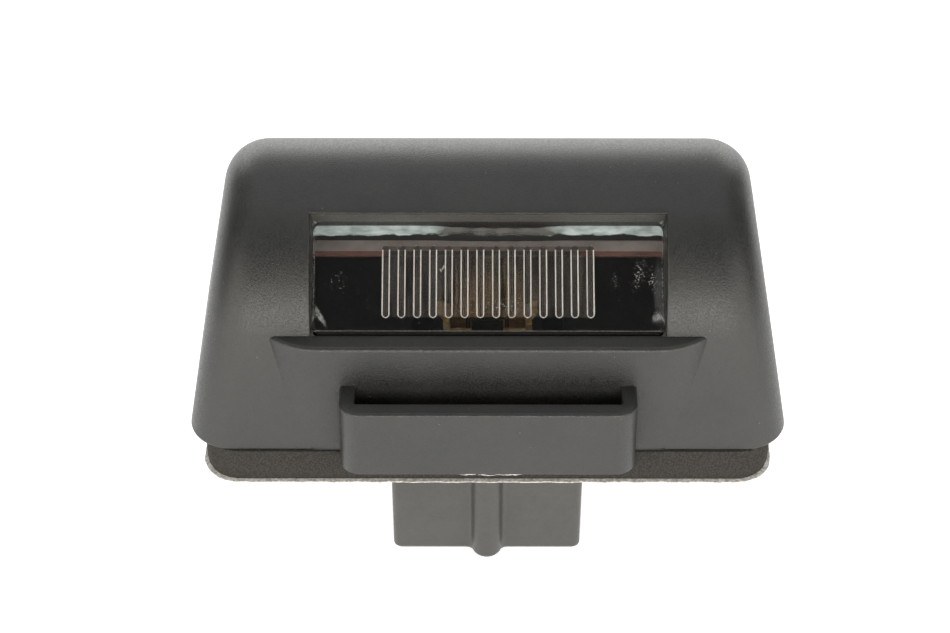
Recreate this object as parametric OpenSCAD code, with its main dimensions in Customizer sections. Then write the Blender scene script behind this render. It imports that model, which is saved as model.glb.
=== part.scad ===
/* [Housing shell] */
// Width of the housing at its base
base_w = 76; // [72:0.1:85]
// Height of the ledge above the housing base
ledge_h = 15.1; // [13.5:0.1:17]
// Lean of the front face from upright at the base, degrees
face_lean_low = 10; // [7:0.5:12]
// Lean of the front face from upright at the ledge, degrees
face_lean_high = 20; // [18:0.5:22]
// Radius of the brow, from the ledge level up past the window
brow_r = 20.9; // [20:0.1:22.5]
// Lean at which the brow runs into the flatter forehead, degrees
brow_lean = 66; // [65:0.5:68]
// Radius of the forehead above the window
forehead_r = 40; // [34:0.5:46]
// Lean at which the forehead runs into the crown, degrees
forehead_lean = 72.5; // [70:0.5:76]
// Radius of the crown
crown_r = 12.8; // [12:0.1:14]
// Draft of the rear wall from upright, degrees
rear_draft = 15; // [10:1:18]
// Draft of the side walls from upright, degrees
side_draft = 10; // [8:0.5:12]
// Radius of the edge between the arch and the side walls
edge_r = 5.9; // [4.5:0.1:7]
// Wall thickness of the housing
wall = 2.1; // [1.6:0.1:2.6]

/* [Chin and ledge] */
// Half of the straight front of the ledge
chin_half_w = 21; // [20:0.1:23]
// Radius of the rounded ends of the ledge, in plan
chin_end_r = 9; // [7.5:0.1:11]
// Lean of the chin face from upright, degrees
chin_lean = 5.5; // [4:0.5:7]

/* [Release pocket] */
// Outer width of the pocket on the chin
pocket_w = 37; // [30:0.1:39]
// Height of the pocket rim above the housing base
pocket_h = 9.7; // [8:0.1:11]
// Reach of the pocket in front of the housing base
pocket_reach = 4.8; // [4.2:0.1:6.5]
// Thickness of the pocket front wall
pocket_front_t = 2.3; // [1.8:0.1:2.6]
// Thickness of the pocket side walls
pocket_side_t = 1.9; // [1.6:0.1:2.6]
// Thickness of the pocket floor
pocket_floor_t = 1.6; // [1:0.1:2.5]
// Radius of the pocket's outer corners
pocket_r = 2.6; // [1.5:0.1:3.2]
// Depth to which the pocket's walls run into the chin
pocket_root = 1.3; // [1:0.1:1.6]

/* [Lens] */
// Width of the lens
lens_w = 44; // [40:0.1:46]
// Length of the lens from the ledge up
lens_l = 14.6; // [13.5:0.1:15]
// Thickness of the lens
lens_t = 2.2; // [1.8:0.1:2.6]
// Lean of the lens from upright, degrees
lens_lean = 53; // [52:0.5:56]
// Rise of the window's sill above the ledge
sill_h = 0.05; // [0.03:0.01:0.3]
// Set-back of the lens foot behind the front face
lens_setback = 0.05; // [0.03:0.01:0.5]
// Radius of the lens corners
lens_corner_r = 1.2; // [1.1:0.1:1.6]
// Radius of the edge round the sides and the foot of the lens
lens_edge_r = 0.75; // [0.5:0.05:1]
// Radius of the edge along the top of the lens
lens_top_r = 1.6; // [1.1:0.1:1.7]
// Gap round the lens in its seat
lens_gap = 0.1; // [0.05:0.01:0.2]
// Width of the lip that the lens rests on
lip_w = 0.6; // [0.5:0.1:1]
// Thickness of that lip
lip_t = 1.2; // [0.9:0.1:1.8]
// Width of the shelf behind the top of the lens
shelf_w = 2.9; // [1.8:0.1:3.2]
// Drop of that shelf below the lip
shelf_drop = 0.6; // [0.4:0.05:0.8]
// Wall of the frame round the lens
frame_t = 1.6; // [1.2:0.1:2]
// Draft of the window's side walls, degrees
window_side_draft = 6.5; // [5:0.5:12]
// Draft of the window's ceiling, degrees
window_top_draft = 9; // [6:0.5:12]
// Number of light-spreading flutes
flute_count = 14; // [8:1:18]
// Spacing of the flutes
flute_pitch = 1.975; // [1.6:0.025:2.3]
// Width of a flute
flute_w = 0.95; // [0.6:0.05:1.2]
// Length of a flute
flute_l = 9.3; // [6:0.1:10]
// Height of the foot of the flutes above the foot of the lens
flute_foot = 2.6; // [2:0.1:3]
// Height of a flute above the lens face
flute_t = 0.3; // [0.15:0.05:0.4]

/* [Base] */
// Rim of the housing left round the base plate
rim_w = 1.5; // [1.2:0.1:1.8]
// Thickness of the base plate
plate_t = 2; // [1.6:0.1:2.6]
// Gap round the base plate
plate_gap = 0.1; // [0.05:0.01:0.2]
// Width of a catch tab on the base plate
catch_w = 8; // [5:0.5:10]
// Thickness of a catch tab
catch_t = 1.2; // [1:0.1:1.6]
// Height of the catch rib above the base plate
catch_rise = 2; // [1.5:0.1:3]
// Thickness of the catch rib and of the tab's nose
catch_nose_t = 1.2; // [0.8:0.1:1.6]
// Overlap of a nose on its rib
catch_bite = 0.5; // [0.3:0.05:0.6]
// Distance of the two catches on a side from the middle
catch_y = 9; // [7:0.5:10]
// Running gap between a catch tab and its rib
catch_gap = 0.1; // [0.05:0.01:0.15]

/* [Connector tower] */
// Width of the tower where it leaves the base plate
tower_w = 26.2; // [22:0.1:28]
// Depth of the tower, front to back
tower_d = 14; // [12:0.1:15]
// Length of the tower below the base plate
tower_l = 30.5; // [28:0.1:33]
// Draft of the tower's four walls, degrees
tower_draft = 0.6; // [0.4:0.1:1.2]
// Radius of the tower's edges
tower_edge_r = 0.9; // [0.5:0.1:1.2]
// Distance from the housing base front to the tower front
tower_setback = 14.4; // [14:0.1:15.5]
// Radius of the half-round rib on the tower front
key_r = 2.05; // [1.5:0.05:2.4]
// Radius of the fillets beside that rib
key_fillet = 1; // [0.5:0.1:1.5]
// Width of the connector socket
socket_w = 19.4; // [17:0.1:19.8]
// Depth of the connector socket, front to back
socket_d = 9.6; // [8:0.1:10]
// Length of the connector socket
socket_l = 13; // [11:0.1:15]
// Distance of the blade tips inside the socket mouth
blade_recess = 4.5; // [4.2:0.1:6]
// Width of the two core pockets beside the bulb's well
core_w = 2.8; // [2:0.1:3.2]
// Wall between a core pocket and the well
core_wall = 1.4; // [1:0.1:1.6]
// Width of a connector blade
blade_w = 2.8; // [2:0.1:3.2]

/* [Contacts and bulb] */
// Thickness of the brass sheet
sheet_t = 0.8; // [0.6:0.05:0.9]
// Gap of a contact in its slot
slot_gap = 0.1; // [0.05:0.01:0.15]
// Length of the contact fingers across the wedge
finger_l = 2.9; // [2.6:0.1:3.4]
// Distance of a contact's top below the bulb's shoulder
contact_drop = 1.4; // [0.4:0.1:2]
// Distance of the fingers' top below the contact's top
finger_drop = 1; // [0.4:0.1:2]
// Height of the outward flare at the contact's top
flare_h = 1.2; // [0.8:0.1:1.6]
// Outward reach of that flare
flare_reach = 0.8; // [0.5:0.1:1]
// Diameter of the bulb
bulb_d = 10; // [9.2:0.1:10.6]
// Length of the bulb's glass above its wedge
bulb_l = 15; // [14:0.1:15.6]
// Wall of the bulb's glass
glass_t = 0.6; // [0.4:0.1:0.8]
// Radius of the bulb's shoulder
shoulder_r = 2.2; // [1.5:0.1:2.8]
// Width of the bulb's wedge
wedge_w = 9.8; // [9:0.1:10]
// Thickness of the bulb's wedge
wedge_t = 2.1; // [1.9:0.1:2.4]
// Length of the bulb's wedge
wedge_l = 9.5; // [8.5:0.1:10.5]
// Rise of the bulb's shoulder above the housing base
bulb_rise = 6.4; // [5:0.1:6.8]
// Diameter of the bulb's lead wires
wire_d = 0.4; // [0.3:0.05:0.5]
// Distance of a lead wire from the bulb's axis
wire_x = 2.6; // [2.4:0.1:3]
// Length of a lead wire's fold, back up outside the wedge
fold_l = 5.7; // [4:0.1:7]
// Height of the filament above the bulb's shoulder
filament_rise = 9.5; // [8:0.5:11]
// Outer diameter of the filament's coil
filament_d = 0.7; // [0.5:0.05:0.9]
// Gap round the lead wires
wire_gap = 0.03; // [0.02:0.01:0.05]

/* [Gasket and fixing] */
// Thickness of the foam gasket
gasket_t = 4.5; // [3:0.1:6]
// Inset of the gasket from the housing sides
gasket_inset = 2; // [1:0.1:2.5]
// Reach of the gasket past the housing's front and rear
gasket_proud = 0.55; // [0.2:0.05:0.9]
// Corner radius of the gasket
gasket_r = 4.6; // [3.5:0.1:6]
// Width of the gasket's side bands
gasket_band_x = 5.8; // [5:0.1:6.5]
// Width of the gasket's front and rear bands
gasket_band_y = 5.8; // [5:0.1:6]
// Corner radius of the gasket's hole
gasket_hole_r = 3; // [2:0.1:4]
// Thickness of the release paper
liner_t = 0.15; // [0.1:0.01:0.3]
// Reach of the release paper past the gasket
liner_proud = 0.4; // [0.2:0.05:0.6]
// Thickness of the panel that the lamp clips into
panel_t = 1.2; // [0.8:0.1:1.5]
// Distance of the two rear hooks from the middle
hook_x = 19; // [17:0.5:21]
// Width of a rear hook
hook_w = 7; // [5:0.5:9]
// Thickness of a rear hook
hook_t = 1.8; // [1.4:0.1:2.2]
// Reach of a rear hook under the panel
hook_bite = 1.4; // [1:0.1:1.8]
// Distance of a rear hook from the rear edge of the gasket's hole
hook_inset = 1; // [0.6:0.1:1.4]
// Width of the steel spring clip
clip_w = 10; // [8:0.5:12]
// Thickness of the spring clip's strip
clip_t = 0.5; // [0.4:0.05:0.6]
// Depth of the spring clip below the panel's face
clip_drop = 5; // [4:0.1:5.5]
// Distance of the clip's shank from the front edge of the gasket's hole
clip_inset = 3.6; // [3.2:0.1:4.2]
// Wall of the boss that holds the spring clip
boss_t = 1.4; // [1.2:0.1:1.8]

/* [Hidden] */
$fn = 48;

// Shell facets along the face, brow and crown, and round the edge
face_steps = 3;
brow_steps = 8;
forehead_steps = 2;
crown_steps = 13;
edge_steps = 6;

rear_lean = 180 - rear_draft;
seat_z = gasket_t + liner_t;
over = 1;
// Thickness of a slice that a hull is stretched over
skin = 0.01;

// The arch: arcs that follow each other, each from the lean where the last one ends, as points [y, z]
face_r = ledge_h / (sin(face_lean_high) - sin(face_lean_low));
face_end = arc_point([0, 0], face_r, face_lean_low, face_lean_high);
brow_end = arc_point(face_end, brow_r, face_lean_high, brow_lean);
forehead_end = arc_point(brow_end, forehead_r, brow_lean, forehead_lean);
crown_end = arc_point(forehead_end, crown_r, forehead_lean, rear_lean);
base_d = crown_end[0] + crown_end[1] * tan(rear_draft);
front_y = -base_d / 2;

// Lens frame: its foot line, tilt and outer sizes
lens_foot_y = face_end[0] + lens_setback;
lens_tilt = 90 - lens_lean;
window_out = 8;
// Height of the seat's cut above the lens face, which clears the sill
seat_rise = 0.3;

// Chin
chin_end_turn = 60;
chin_end_x = chin_half_w + chin_end_r * sin(chin_end_turn);
chin_back = chin_end_r * (1 - cos(chin_end_turn));

// Base plate and its catches, from the housing's inner wall
plate_w = base_w - 2 * (rim_w + plate_gap);
plate_d = base_d - 2 * (rim_w + plate_gap);
rebate_r = edge_r - rim_w;
rib_low = plate_t + catch_rise;
rib_high = rib_low + catch_nose_t;
nose_low = rib_high + catch_gap;
nose_high = nose_low + catch_nose_t;
nose_x = inner_half_w(nose_high) - catch_gap;
rib_x = nose_x - catch_bite;
tab_x = rib_x - catch_gap;

// Bulb, contacts and the well that holds them
bulb_y = tower_setback + tower_d / 2;
fold_r = ((wedge_t + wire_d) / 2 + wire_gap) / 2;
fold_z = -wedge_l - wire_gap;
finger_y = wedge_t / 2 + wire_d + 2 * wire_gap;
contact_x = wedge_w / 2 + slot_gap;
contact_d = 2 * (finger_y + sheet_t);
contact_top = bulb_rise - contact_drop;
finger_top = contact_top - finger_drop;
wire_foot = bulb_rise + fold_z - fold_r - wire_d / 2;
well_floor = wire_foot - slot_gap;
contact_foot = well_floor + slot_gap;
well_w = 2 * (contact_x + sheet_t + slot_gap);
well_d = contact_d + 2 * slot_gap;
socket_top = socket_l - tower_l;
blade_foot = blade_recess - tower_l;

// Gasket and what grips the panel
gasket_w = base_w - 2 * gasket_inset;
gasket_d = base_d + 2 * gasket_proud;
hole_w = gasket_w - 2 * gasket_band_x;
hole_d = gasket_d - 2 * gasket_band_y;
grip_gap = 0.1;
hook_out = hole_d / 2 - hook_inset;
hook_top = -panel_t - grip_gap;
clip_back = -hole_d / 2 + clip_inset;
clip_bend_r = 1;

function arc_point(start, r, from, to) =
    start + r * [cos(from) - cos(to), sin(to) - sin(from)];

// Point of the arch where it leans by a
function arch_point(a) =
    a <= face_lean_high ? arc_point([0, 0], face_r, face_lean_low, a)
    : a <= brow_lean ? arc_point(face_end, brow_r, face_lean_high, a)
    : a <= forehead_lean ? arc_point(brow_end, forehead_r, brow_lean, a)
    : arc_point(forehead_end, crown_r, forehead_lean, a);

// Leans at which the shell has a row of points
function shell_leans() = concat(
    [for (i = [1 : face_steps]) face_lean_low + (face_lean_high - face_lean_low) * (i + 0.5) / (face_steps + 0.5)],
    [for (i = [1 : brow_steps]) face_lean_high + (brow_lean - face_lean_high) * i / brow_steps],
    [for (i = [1 : forehead_steps]) brow_lean + (forehead_lean - brow_lean) * i / forehead_steps],
    [for (i = [1 : crown_steps]) forehead_lean + (rear_lean - forehead_lean) * i / crown_steps]
);

// Middle of the edge round at height z, and at lean a: the ball that rolls along the edge
function ball_x(z) = base_w / 2 - z * tan(side_draft) - edge_r / cos(side_draft);
function ball_yz(a) = arch_point(a) - edge_r * [-cos(a), sin(a)];

// Direction from the ball's middle, from the arch's normal (t = 0) to the side's (t = 1)
function edge_dir(a, t) =
    let (n = [0, -cos(a), sin(a)], m = [cos(side_draft), 0, sin(side_draft)])
    let (turn = acos(n * m))
    (sin((1 - t) * turn) * n + sin(t * turn) * m) / sin(turn);

function edge_point(a, t, r) =
    let (c = ball_yz(a))
    [ball_x(c[1]), c[0], c[1]] + r * edge_dir(a, t);

// The same edge run on straight at lean a, until the point lies on the base plane
function foot_point(a, t, r) =
    let (c = ball_yz(a), v = edge_dir(a, t))
    let (z = -r * v[2])
    [ball_x(z) + r * v[0], c[0] + (z - c[1]) * tan(a) + r * v[1], 0];

function mirror_x(p) = [-p[0], p[1], p[2]];

// One row of the shell, from the left side over the arch to the right side
function row_of(half) = concat([for (i = [edge_steps : -1 : 0]) mirror_x(half[i])], half);

function shell_rows(r) = concat(
    [row_of([for (i = [0 : edge_steps]) foot_point(face_lean_low, i / edge_steps, r)])],
    [for (a = shell_leans()) row_of([for (i = [0 : edge_steps]) edge_point(a, i / edge_steps, r)])],
    [row_of([for (i = [0 : edge_steps]) foot_point(rear_lean, i / edge_steps, r)])]
);

function flatten(rows) = [for (row = rows) for (p = row) p];

// Half width of the housing's inside at height z
function inner_half_w(z) = base_w / 2 - z * tan(side_draft) - wall / cos(side_draft);

// Closed body under the arch, with the edge round's radius cut back to r
module arch_body(r) {
    rows = shell_rows(r);
    last = len(rows) - 1;
    n = len(rows[0]);
    walls = [
        for (k = [0 : last - 1]) for (i = [0 : n - 2]) for (half = [0, 1])
            let (a = k * n + i, b = a + n, c = b + 1, d = a + 1)
            half == 0 ? [a, b, c] : [a, c, d]
    ];
    left = [for (k = [last : -1 : 0]) k * n];
    right = [for (k = [0 : last]) k * n + n - 1];
    foot = concat([for (i = [0 : n - 1]) i], [for (i = [n - 1 : -1 : 0]) last * n + i]);
    polyhedron(points = flatten(rows), faces = concat(walls, [left, right, foot]));
}

// Rectangle with round corners, true arcs
module round_rect(w, d, r) {
    square([w - 2 * r, d], center = true);
    square([w, d - 2 * r], center = true);
    for (sx = [-1, 1], sy = [-1, 1])
        translate([sx * (w / 2 - r), sy * (d / 2 - r)])
            circle(r = r);
}

// Moves children from the housing base's front edge into the part's frame
module on_base() {
    translate([0, front_y, seat_z])
        children();
}

// Lens frame: x across, y up along the lens, z out of its front face
module at_lens() {
    translate([0, lens_foot_y, ledge_h])
        rotate([lens_tilt, 0, 0])
            children();
}

// Box between two corners
module span(low, high) {
    translate(low)
        cube(high - low);
}

// Plan of the chin, its wall cut back by inset
module chin_plan(inset) {
    r = chin_end_r - inset;
    difference() {
        union() {
            translate([-chin_half_w, inset])
                square([2 * chin_half_w, chin_back - inset]);
            for (s = [-1, 1])
                translate([s * chin_half_w, chin_end_r])
                    circle(r = r);
        }
        translate([-chin_end_x - over, chin_back])
            square([2 * (chin_end_x + over), 2 * chin_end_r]);
    }
}

// Chin block, leaned back and cut flat at its top and foot
module chin(inset, top) {
    intersection() {
        rotate([-chin_lean, 0, 0])
            translate([0, 0, -over])
                linear_extrude(top + 2 * over)
                    chin_plan(inset);
        span([-chin_end_x, -over, 0], [chin_end_x, chin_back + 3 * over, top]);
    }
}

// Open pocket on the chin for the finger or tool that releases the lamp
module pocket() {
    inner_w = pocket_w - 2 * pocket_side_t;
    depth = pocket_reach + pocket_root;
    translate([0, depth / 2 - pocket_reach, 0])
        linear_extrude(pocket_h)
            difference() {
                union() {
                    round_rect(pocket_w, depth, pocket_r);
                    translate([-pocket_w / 2, 0])
                        square([pocket_w, depth / 2]);
                }
                translate([-inner_w / 2, pocket_front_t - depth / 2])
                    square([inner_w, depth]);
            }
    span([-inner_w / 2 - pocket_side_t / 2, pocket_front_t / 2 - pocket_reach, 0],
        [inner_w / 2 + pocket_side_t / 2, pocket_root, pocket_floor_t]);
}

// Space in front of the lens: it widens outwards and its level floor is the sill
module window_space() {
    side = window_out * tan(window_side_draft);
    top = window_out * tan(window_top_draft);
    foot = sill_h / cos(lens_lean);
    drop = window_out * tan(lens_lean) - foot;
    half = lens_w / 2 + lens_gap;
    head = lens_l + lens_gap;
    at_lens()
        polyhedron(
            points = [
                [-half, foot, 0], [half, foot, 0], [half, head, 0], [-half, head, 0],
                [-half - side, -drop, window_out], [half + side, -drop, window_out],
                [half + side, head + top, window_out], [-half - side, head + top, window_out]
            ],
            faces = [[0, 1, 2, 3], [7, 6, 5, 4], [4, 5, 1, 0], [5, 6, 2, 1], [6, 7, 3, 2], [7, 4, 0, 3]]
        );
}

// Seat that the lens drops into, and the opening behind its lip and its shelf
module lens_seat() {
    at_lens() {
        translate([0, lens_l / 2, -lens_t - lens_gap])
            linear_extrude(lens_t + lens_gap + seat_rise)
                round_rect(lens_w + 2 * lens_gap, lens_l + 2 * lens_gap, lens_corner_r);
        translate([0, lens_l / 2, -lens_t - lens_gap - shelf_drop])
            linear_extrude(shelf_drop + over)
                round_rect(lens_w - 2 * lip_w, lens_l - 2 * lip_w, lens_corner_r);
        translate([0, (lens_l - shelf_w + lip_w) / 2, -lens_t - lens_gap - lip_t - over])
            linear_extrude(lip_t + over)
                round_rect(lens_w - 2 * lip_w, lens_l - shelf_w - lip_w, lens_corner_r);
    }
}

// Frame that stands in from the shell and carries the lens
module lens_frame() {
    reach = frame_t + lens_gap;
    at_lens()
        span([-lens_w / 2 - reach, -reach, -lens_t - lens_gap - lip_t],
            [lens_w / 2 + reach, lens_l + reach, window_out]);
}

// Ribs inside the side walls that the base plate's catches snap over
module catch_ribs() {
    for (sx = [-1, 1], sy = [-1, 1])
        translate([0, base_d / 2 + sy * catch_y, 0])
            mirror([sx < 0 ? 1 : 0, 0, 0])
                span([rib_x, -catch_w / 2 - over, rib_low],
                    [inner_half_w(rib_high) + wall / 2, catch_w / 2 + over, rib_high]);
}

module housing() {
    color([0.27, 0.27, 0.26])
        on_base()
            difference() {
                union() {
                    arch_body(edge_r);
                    chin(0, ledge_h);
                    pocket();
                }
                difference() {
                    union() {
                        arch_body(edge_r - wall);
                        chin(wall, ledge_h - wall);
                    }
                    lens_frame();
                    catch_ribs();
                }
                window_space();
                lens_seat();
                translate([0, base_d / 2, -over])
                    linear_extrude(plate_t + over)
                        round_rect(base_w - 2 * rim_w, base_d - 2 * rim_w, rebate_r);
            }
}

// One flute, a rib with round ends
module flute() {
    linear_extrude(flute_t) {
        translate([-flute_w / 2, flute_w / 2])
            square([flute_w, flute_l - flute_w]);
        for (y = [flute_w / 2, flute_l - flute_w / 2])
            translate([0, y])
                circle(d = flute_w);
    }
}

// One slice of the lens where its top edge has turned by a, from the side (0) to the face (90)
module lens_slice(a) {
    depth = lens_top_r * (1 - sin(a));
    top = lens_top_r * (1 - cos(a));
    rise = max(0, lens_edge_r - depth);
    side = lens_edge_r - sqrt(lens_edge_r * lens_edge_r - rise * rise);
    translate([0, (lens_l + side - top) / 2, -depth - skin])
        linear_extrude(skin)
            round_rect(lens_w - 2 * side, lens_l - side - top, lens_corner_r - side, $fn = 24);
}

module lens() {
    color([0.75, 0.8, 0.85, 0.35])
        on_base()
            at_lens() {
                translate([0, lens_l / 2, -lens_t])
                    linear_extrude(lens_t - lens_top_r)
                        round_rect(lens_w, lens_l, lens_corner_r);
                hull()
                    for (a = [0 : 15 : 90])
                        lens_slice(a);
                for (i = [0 : flute_count - 1])
                    translate([(i - (flute_count - 1) / 2) * flute_pitch, flute_foot, -lens_t - flute_t])
                        flute();
            }
}

// Arc about a centre as points, from one angle to another
function arc_points(centre, r, from, to, steps) = [
    for (i = [0 : steps])
        let (a = from + (to - from) * i / steps)
        centre + r * [cos(a), sin(a)]
];

// Outline of the tower and its rib at height z, drawn in by inset, counter-clockwise from the left front corner
function tower_outline(z, inset) =
    let (front = -tower_d / 2 - z * tan(tower_draft), lean = asin(key_fillet / (key_r + key_fillet)))
    let (w = tower_w / 2 + z * tan(tower_draft) - inset, d = -front - inset)
    let (flank = (key_r + key_fillet) * cos(lean), r = tower_edge_r)
    concat(
        arc_points([r - w, r - d], r, 180, 270, 5),
        arc_points([-flank, front - key_fillet], key_fillet + inset, 90, lean, 4),
        arc_points([0, front], key_r - inset, 180 + lean, 360 - lean, 12),
        arc_points([flank, front - key_fillet], key_fillet + inset, 180 - lean, 90, 4),
        arc_points([w - r, r - d], r, -90, 0, 5),
        arc_points([w - r, d - r], r, 0, 90, 5),
        arc_points([r - w, d - r], r, 90, 180, 5)
    );

// Rings of the tower, [height, inset]: its root in the plate, then its lower edge rounded by a quarter circle
function tower_rings() = concat(
    [[plate_t / 2, 0]],
    [for (a = [0 : 22.5 : 90]) [-tower_l + tower_edge_r * (1 - sin(a)), tower_edge_r * (1 - cos(a))]]
);

// Tapered tower with the half-round keying rib on its front
module tower_body() {
    rings = [for (s = tower_rings()) [for (p = tower_outline(s[0], s[1])) [p[0], p[1], s[0]]]];
    last = len(rings) - 1;
    n = len(rings[0]);
    walls = [
        for (k = [0 : last - 1]) for (i = [0 : n - 1])
            let (j = (i + 1) % n)
            [k * n + i, k * n + j, (k + 1) * n + j, (k + 1) * n + i]
    ];
    top = [for (i = [n - 1 : -1 : 0]) i];
    foot = [for (i = [0 : n - 1]) last * n + i];
    polyhedron(points = flatten(rings), faces = concat(walls, [top, foot]));
}

// Catch tab with its nose, on the right side of the plate
module catch_tab() {
    rotate([90, 0, 0])
        linear_extrude(catch_w, center = true)
            polygon([
                [tab_x - catch_t, plate_t / 2],
                [tab_x, plate_t / 2],
                [tab_x, nose_low],
                [nose_x, nose_low],
                [tab_x, nose_high],
                [tab_x - catch_t, nose_high]
            ]);
}

// Rear hook that goes under the panel's edge
module rear_hook() {
    foot = hook_top - hook_t;
    rotate([90, 0, 90])
        linear_extrude(hook_w, center = true)
            polygon([
                [hook_out - hook_bite - hook_t, seat_z + plate_t / 2],
                [hook_out - hook_bite, seat_z + plate_t / 2],
                [hook_out - hook_bite, hook_top],
                [hook_out, hook_top],
                [hook_out, foot + hook_t / 2],
                [hook_out - hook_t / 2, foot],
                [hook_out - hook_bite - hook_t, foot]
            ]);
}

// Boss under the plate with the slot that the spring clip is pushed into
module clip_boss() {
    half = clip_w / 2 + grip_gap;
    difference() {
        span([-half - boss_t, clip_back - grip_gap - boss_t, over],
            [half + boss_t, clip_back + clip_t + grip_gap + boss_t, seat_z + plate_t / 2]);
        span([-half, clip_back - grip_gap, 0],
            [half, clip_back + clip_t + grip_gap, seat_z]);
    }
}

// The bulb's well and the core pockets beside it, open at the top of the plate
module wells() {
    core_x = well_w / 2 + core_wall;
    span([-well_w / 2, -well_d / 2, well_floor], [well_w / 2, well_d / 2, plate_t + over]);
    for (s = [0, 1])
        mirror([s, 0, 0])
            span([core_x, -socket_d / 2, well_floor], [core_x + core_w, socket_d / 2, plate_t + over]);
}

module base() {
    color([0.4, 0.4, 0.39])
        union() {
            on_base() {
                translate([0, base_d / 2, 0])
                    difference() {
                        linear_extrude(plate_t)
                            round_rect(plate_w, plate_d, rebate_r - plate_gap);
                        translate([0, bulb_y - base_d / 2, 0])
                            wells();
                    }
                for (sx = [-1, 1], sy = [-1, 1])
                    translate([0, base_d / 2 + sy * catch_y, 0])
                        mirror([sx < 0 ? 1 : 0, 0, 0])
                            catch_tab();
                difference() {
                    translate([0, bulb_y, 0])
                        tower_body();
                    translate([0, bulb_y, 0]) {
                        wells();
                        span([-socket_w / 2, -socket_d / 2, -tower_l - over],
                            [socket_w / 2, socket_d / 2, socket_top]);
                        for (s = [-1, 1])
                            translate([s * (contact_x + sheet_t / 2), 0, 0])
                                span([-sheet_t / 2 - slot_gap, -blade_w / 2 - slot_gap, socket_top - over],
                                    [sheet_t / 2 + slot_gap, blade_w / 2 + slot_gap, well_floor + over]);
                    }
                }
            }
            for (s = [-1, 1])
                translate([s * hook_x, 0, 0])
                    rear_hook();
            clip_boss();
        }
}

// Stamped brass contact: blade, web, two fingers and a flared top, for the right side
module contact() {
    on_base()
        translate([contact_x, bulb_y, 0]) {
            span([0, -blade_w / 2, blade_foot], [sheet_t, blade_w / 2, contact_foot + over]);
            span([0, -contact_d / 2, contact_foot], [sheet_t, contact_d / 2, contact_top]);
            for (s = [0, 1])
                mirror([0, s, 0])
                    span([-finger_l, finger_y, contact_foot], [over / 4, finger_y + sheet_t, finger_top]);
            rotate([90, 0, 0])
                linear_extrude(blade_w, center = true)
                    polygon([
                        [0, contact_top],
                        [sheet_t, contact_top],
                        [sheet_t + flare_reach, contact_top + flare_h],
                        [flare_reach, contact_top + flare_h]
                    ]);
        }
}

module contact_right() {
    color([0.71, 0.6, 0.35])
        contact();
}

module contact_left() {
    color([0.71, 0.6, 0.35])
        mirror([1, 0, 0])
            contact();
}

// Puts children on the bulb's axis, with z = 0 at its shoulder
module at_bulb() {
    on_base()
        translate([0, bulb_y, bulb_rise])
            children();
}

// Turned outline of the bulb, its wall cut back by inset
module bulb_turned(inset) {
    r = bulb_d / 2 - inset;
    foot_r = r - shoulder_r;
    rotate_extrude()
        intersection() {
            union() {
                translate([0, bulb_l - bulb_d / 2])
                    circle(r = r);
                translate([0, inset + shoulder_r])
                    square([r, bulb_l - bulb_d / 2 - inset - shoulder_r]);
                translate([0, inset])
                    square([foot_r, shoulder_r]);
                translate([foot_r, inset + shoulder_r])
                    circle(r = shoulder_r);
            }
            translate([0, inset])
                square([bulb_d, bulb_l]);
        }
}

module bulb_glass() {
    bore_d = wire_d + 2 * wire_gap;
    color([0.85, 0.87, 0.9, 0.4])
        at_bulb()
            difference() {
                union() {
                    difference() {
                        bulb_turned(0);
                        bulb_turned(glass_t);
                    }
                    translate([0, 0, -wedge_l])
                        linear_extrude(wedge_l + glass_t / 2)
                            round_rect(wedge_w, wedge_t, wedge_t / 4);
                }
                for (s = [-1, 1])
                    translate([s * wire_x, 0, -wedge_l - over])
                        cylinder(d = bore_d, h = wedge_l + glass_t + 2 * over);
            }
}

// Lead wire: up through the wedge to the filament, and folded up outside it
module lead_wire(turn) {
    at_bulb()
        rotate([0, 0, turn])
            translate([wire_x, 0, 0]) {
                translate([0, 0, fold_z])
                    cylinder(d = wire_d, h = filament_rise + filament_d / 2 - fold_z);
                translate([0, 2 * fold_r, fold_z])
                    cylinder(d = wire_d, h = fold_l);
                translate([0, fold_r, fold_z])
                    rotate([-90, 0, 90])
                        rotate_extrude(angle = 180)
                            translate([fold_r, 0])
                                circle(d = wire_d);
            }
}

module bulb_lead_right() {
    color([0.7, 0.7, 0.7])
        lead_wire(0);
}

module bulb_lead_left() {
    color([0.7, 0.7, 0.7])
        lead_wire(180);
}

module bulb_filament() {
    half = wire_x - wire_d / 2 - wire_gap;
    color([0.45, 0.43, 0.42])
        at_bulb()
            translate([-half, 0, filament_rise])
                rotate([0, 90, 0])
                    cylinder(d = filament_d, h = 2 * half);
}

// Bent steel strip: a shank in its boss, a turn below the panel and a nose that grips it
module spring_clip() {
    foot = -clip_drop;
    nose_y = -hole_d / 2 + grip_gap + clip_t;
    color([0.6, 0.61, 0.62])
        rotate([90, 0, 90])
            linear_extrude(clip_w, center = true) {
                translate([clip_back, foot + clip_bend_r])
                    square([clip_t, seat_z - foot - clip_bend_r - grip_gap]);
                translate([clip_back + clip_t - clip_bend_r, foot + clip_bend_r])
                    difference() {
                        circle(r = clip_bend_r);
                        circle(r = clip_bend_r - clip_t);
                        translate([-2 * clip_bend_r, 0])
                            square(4 * clip_bend_r);
                    }
                polygon([
                    [clip_back + clip_t - 2 * clip_bend_r, foot + clip_bend_r],
                    [clip_back + 2 * clip_t - 2 * clip_bend_r, foot + clip_bend_r],
                    [nose_y + clip_t, hook_top],
                    [clip_back - grip_gap - clip_t, 0],
                    [clip_back - grip_gap - 2 * clip_t, 0],
                    [nose_y, hook_top]
                ]);
            }
}

module gasket() {
    color([0.3, 0.29, 0.28])
        translate([0, 0, liner_t])
            linear_extrude(gasket_t)
                difference() {
                    round_rect(gasket_w, gasket_d, gasket_r);
                    round_rect(hole_w, hole_d, gasket_hole_r);
                }
}

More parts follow.
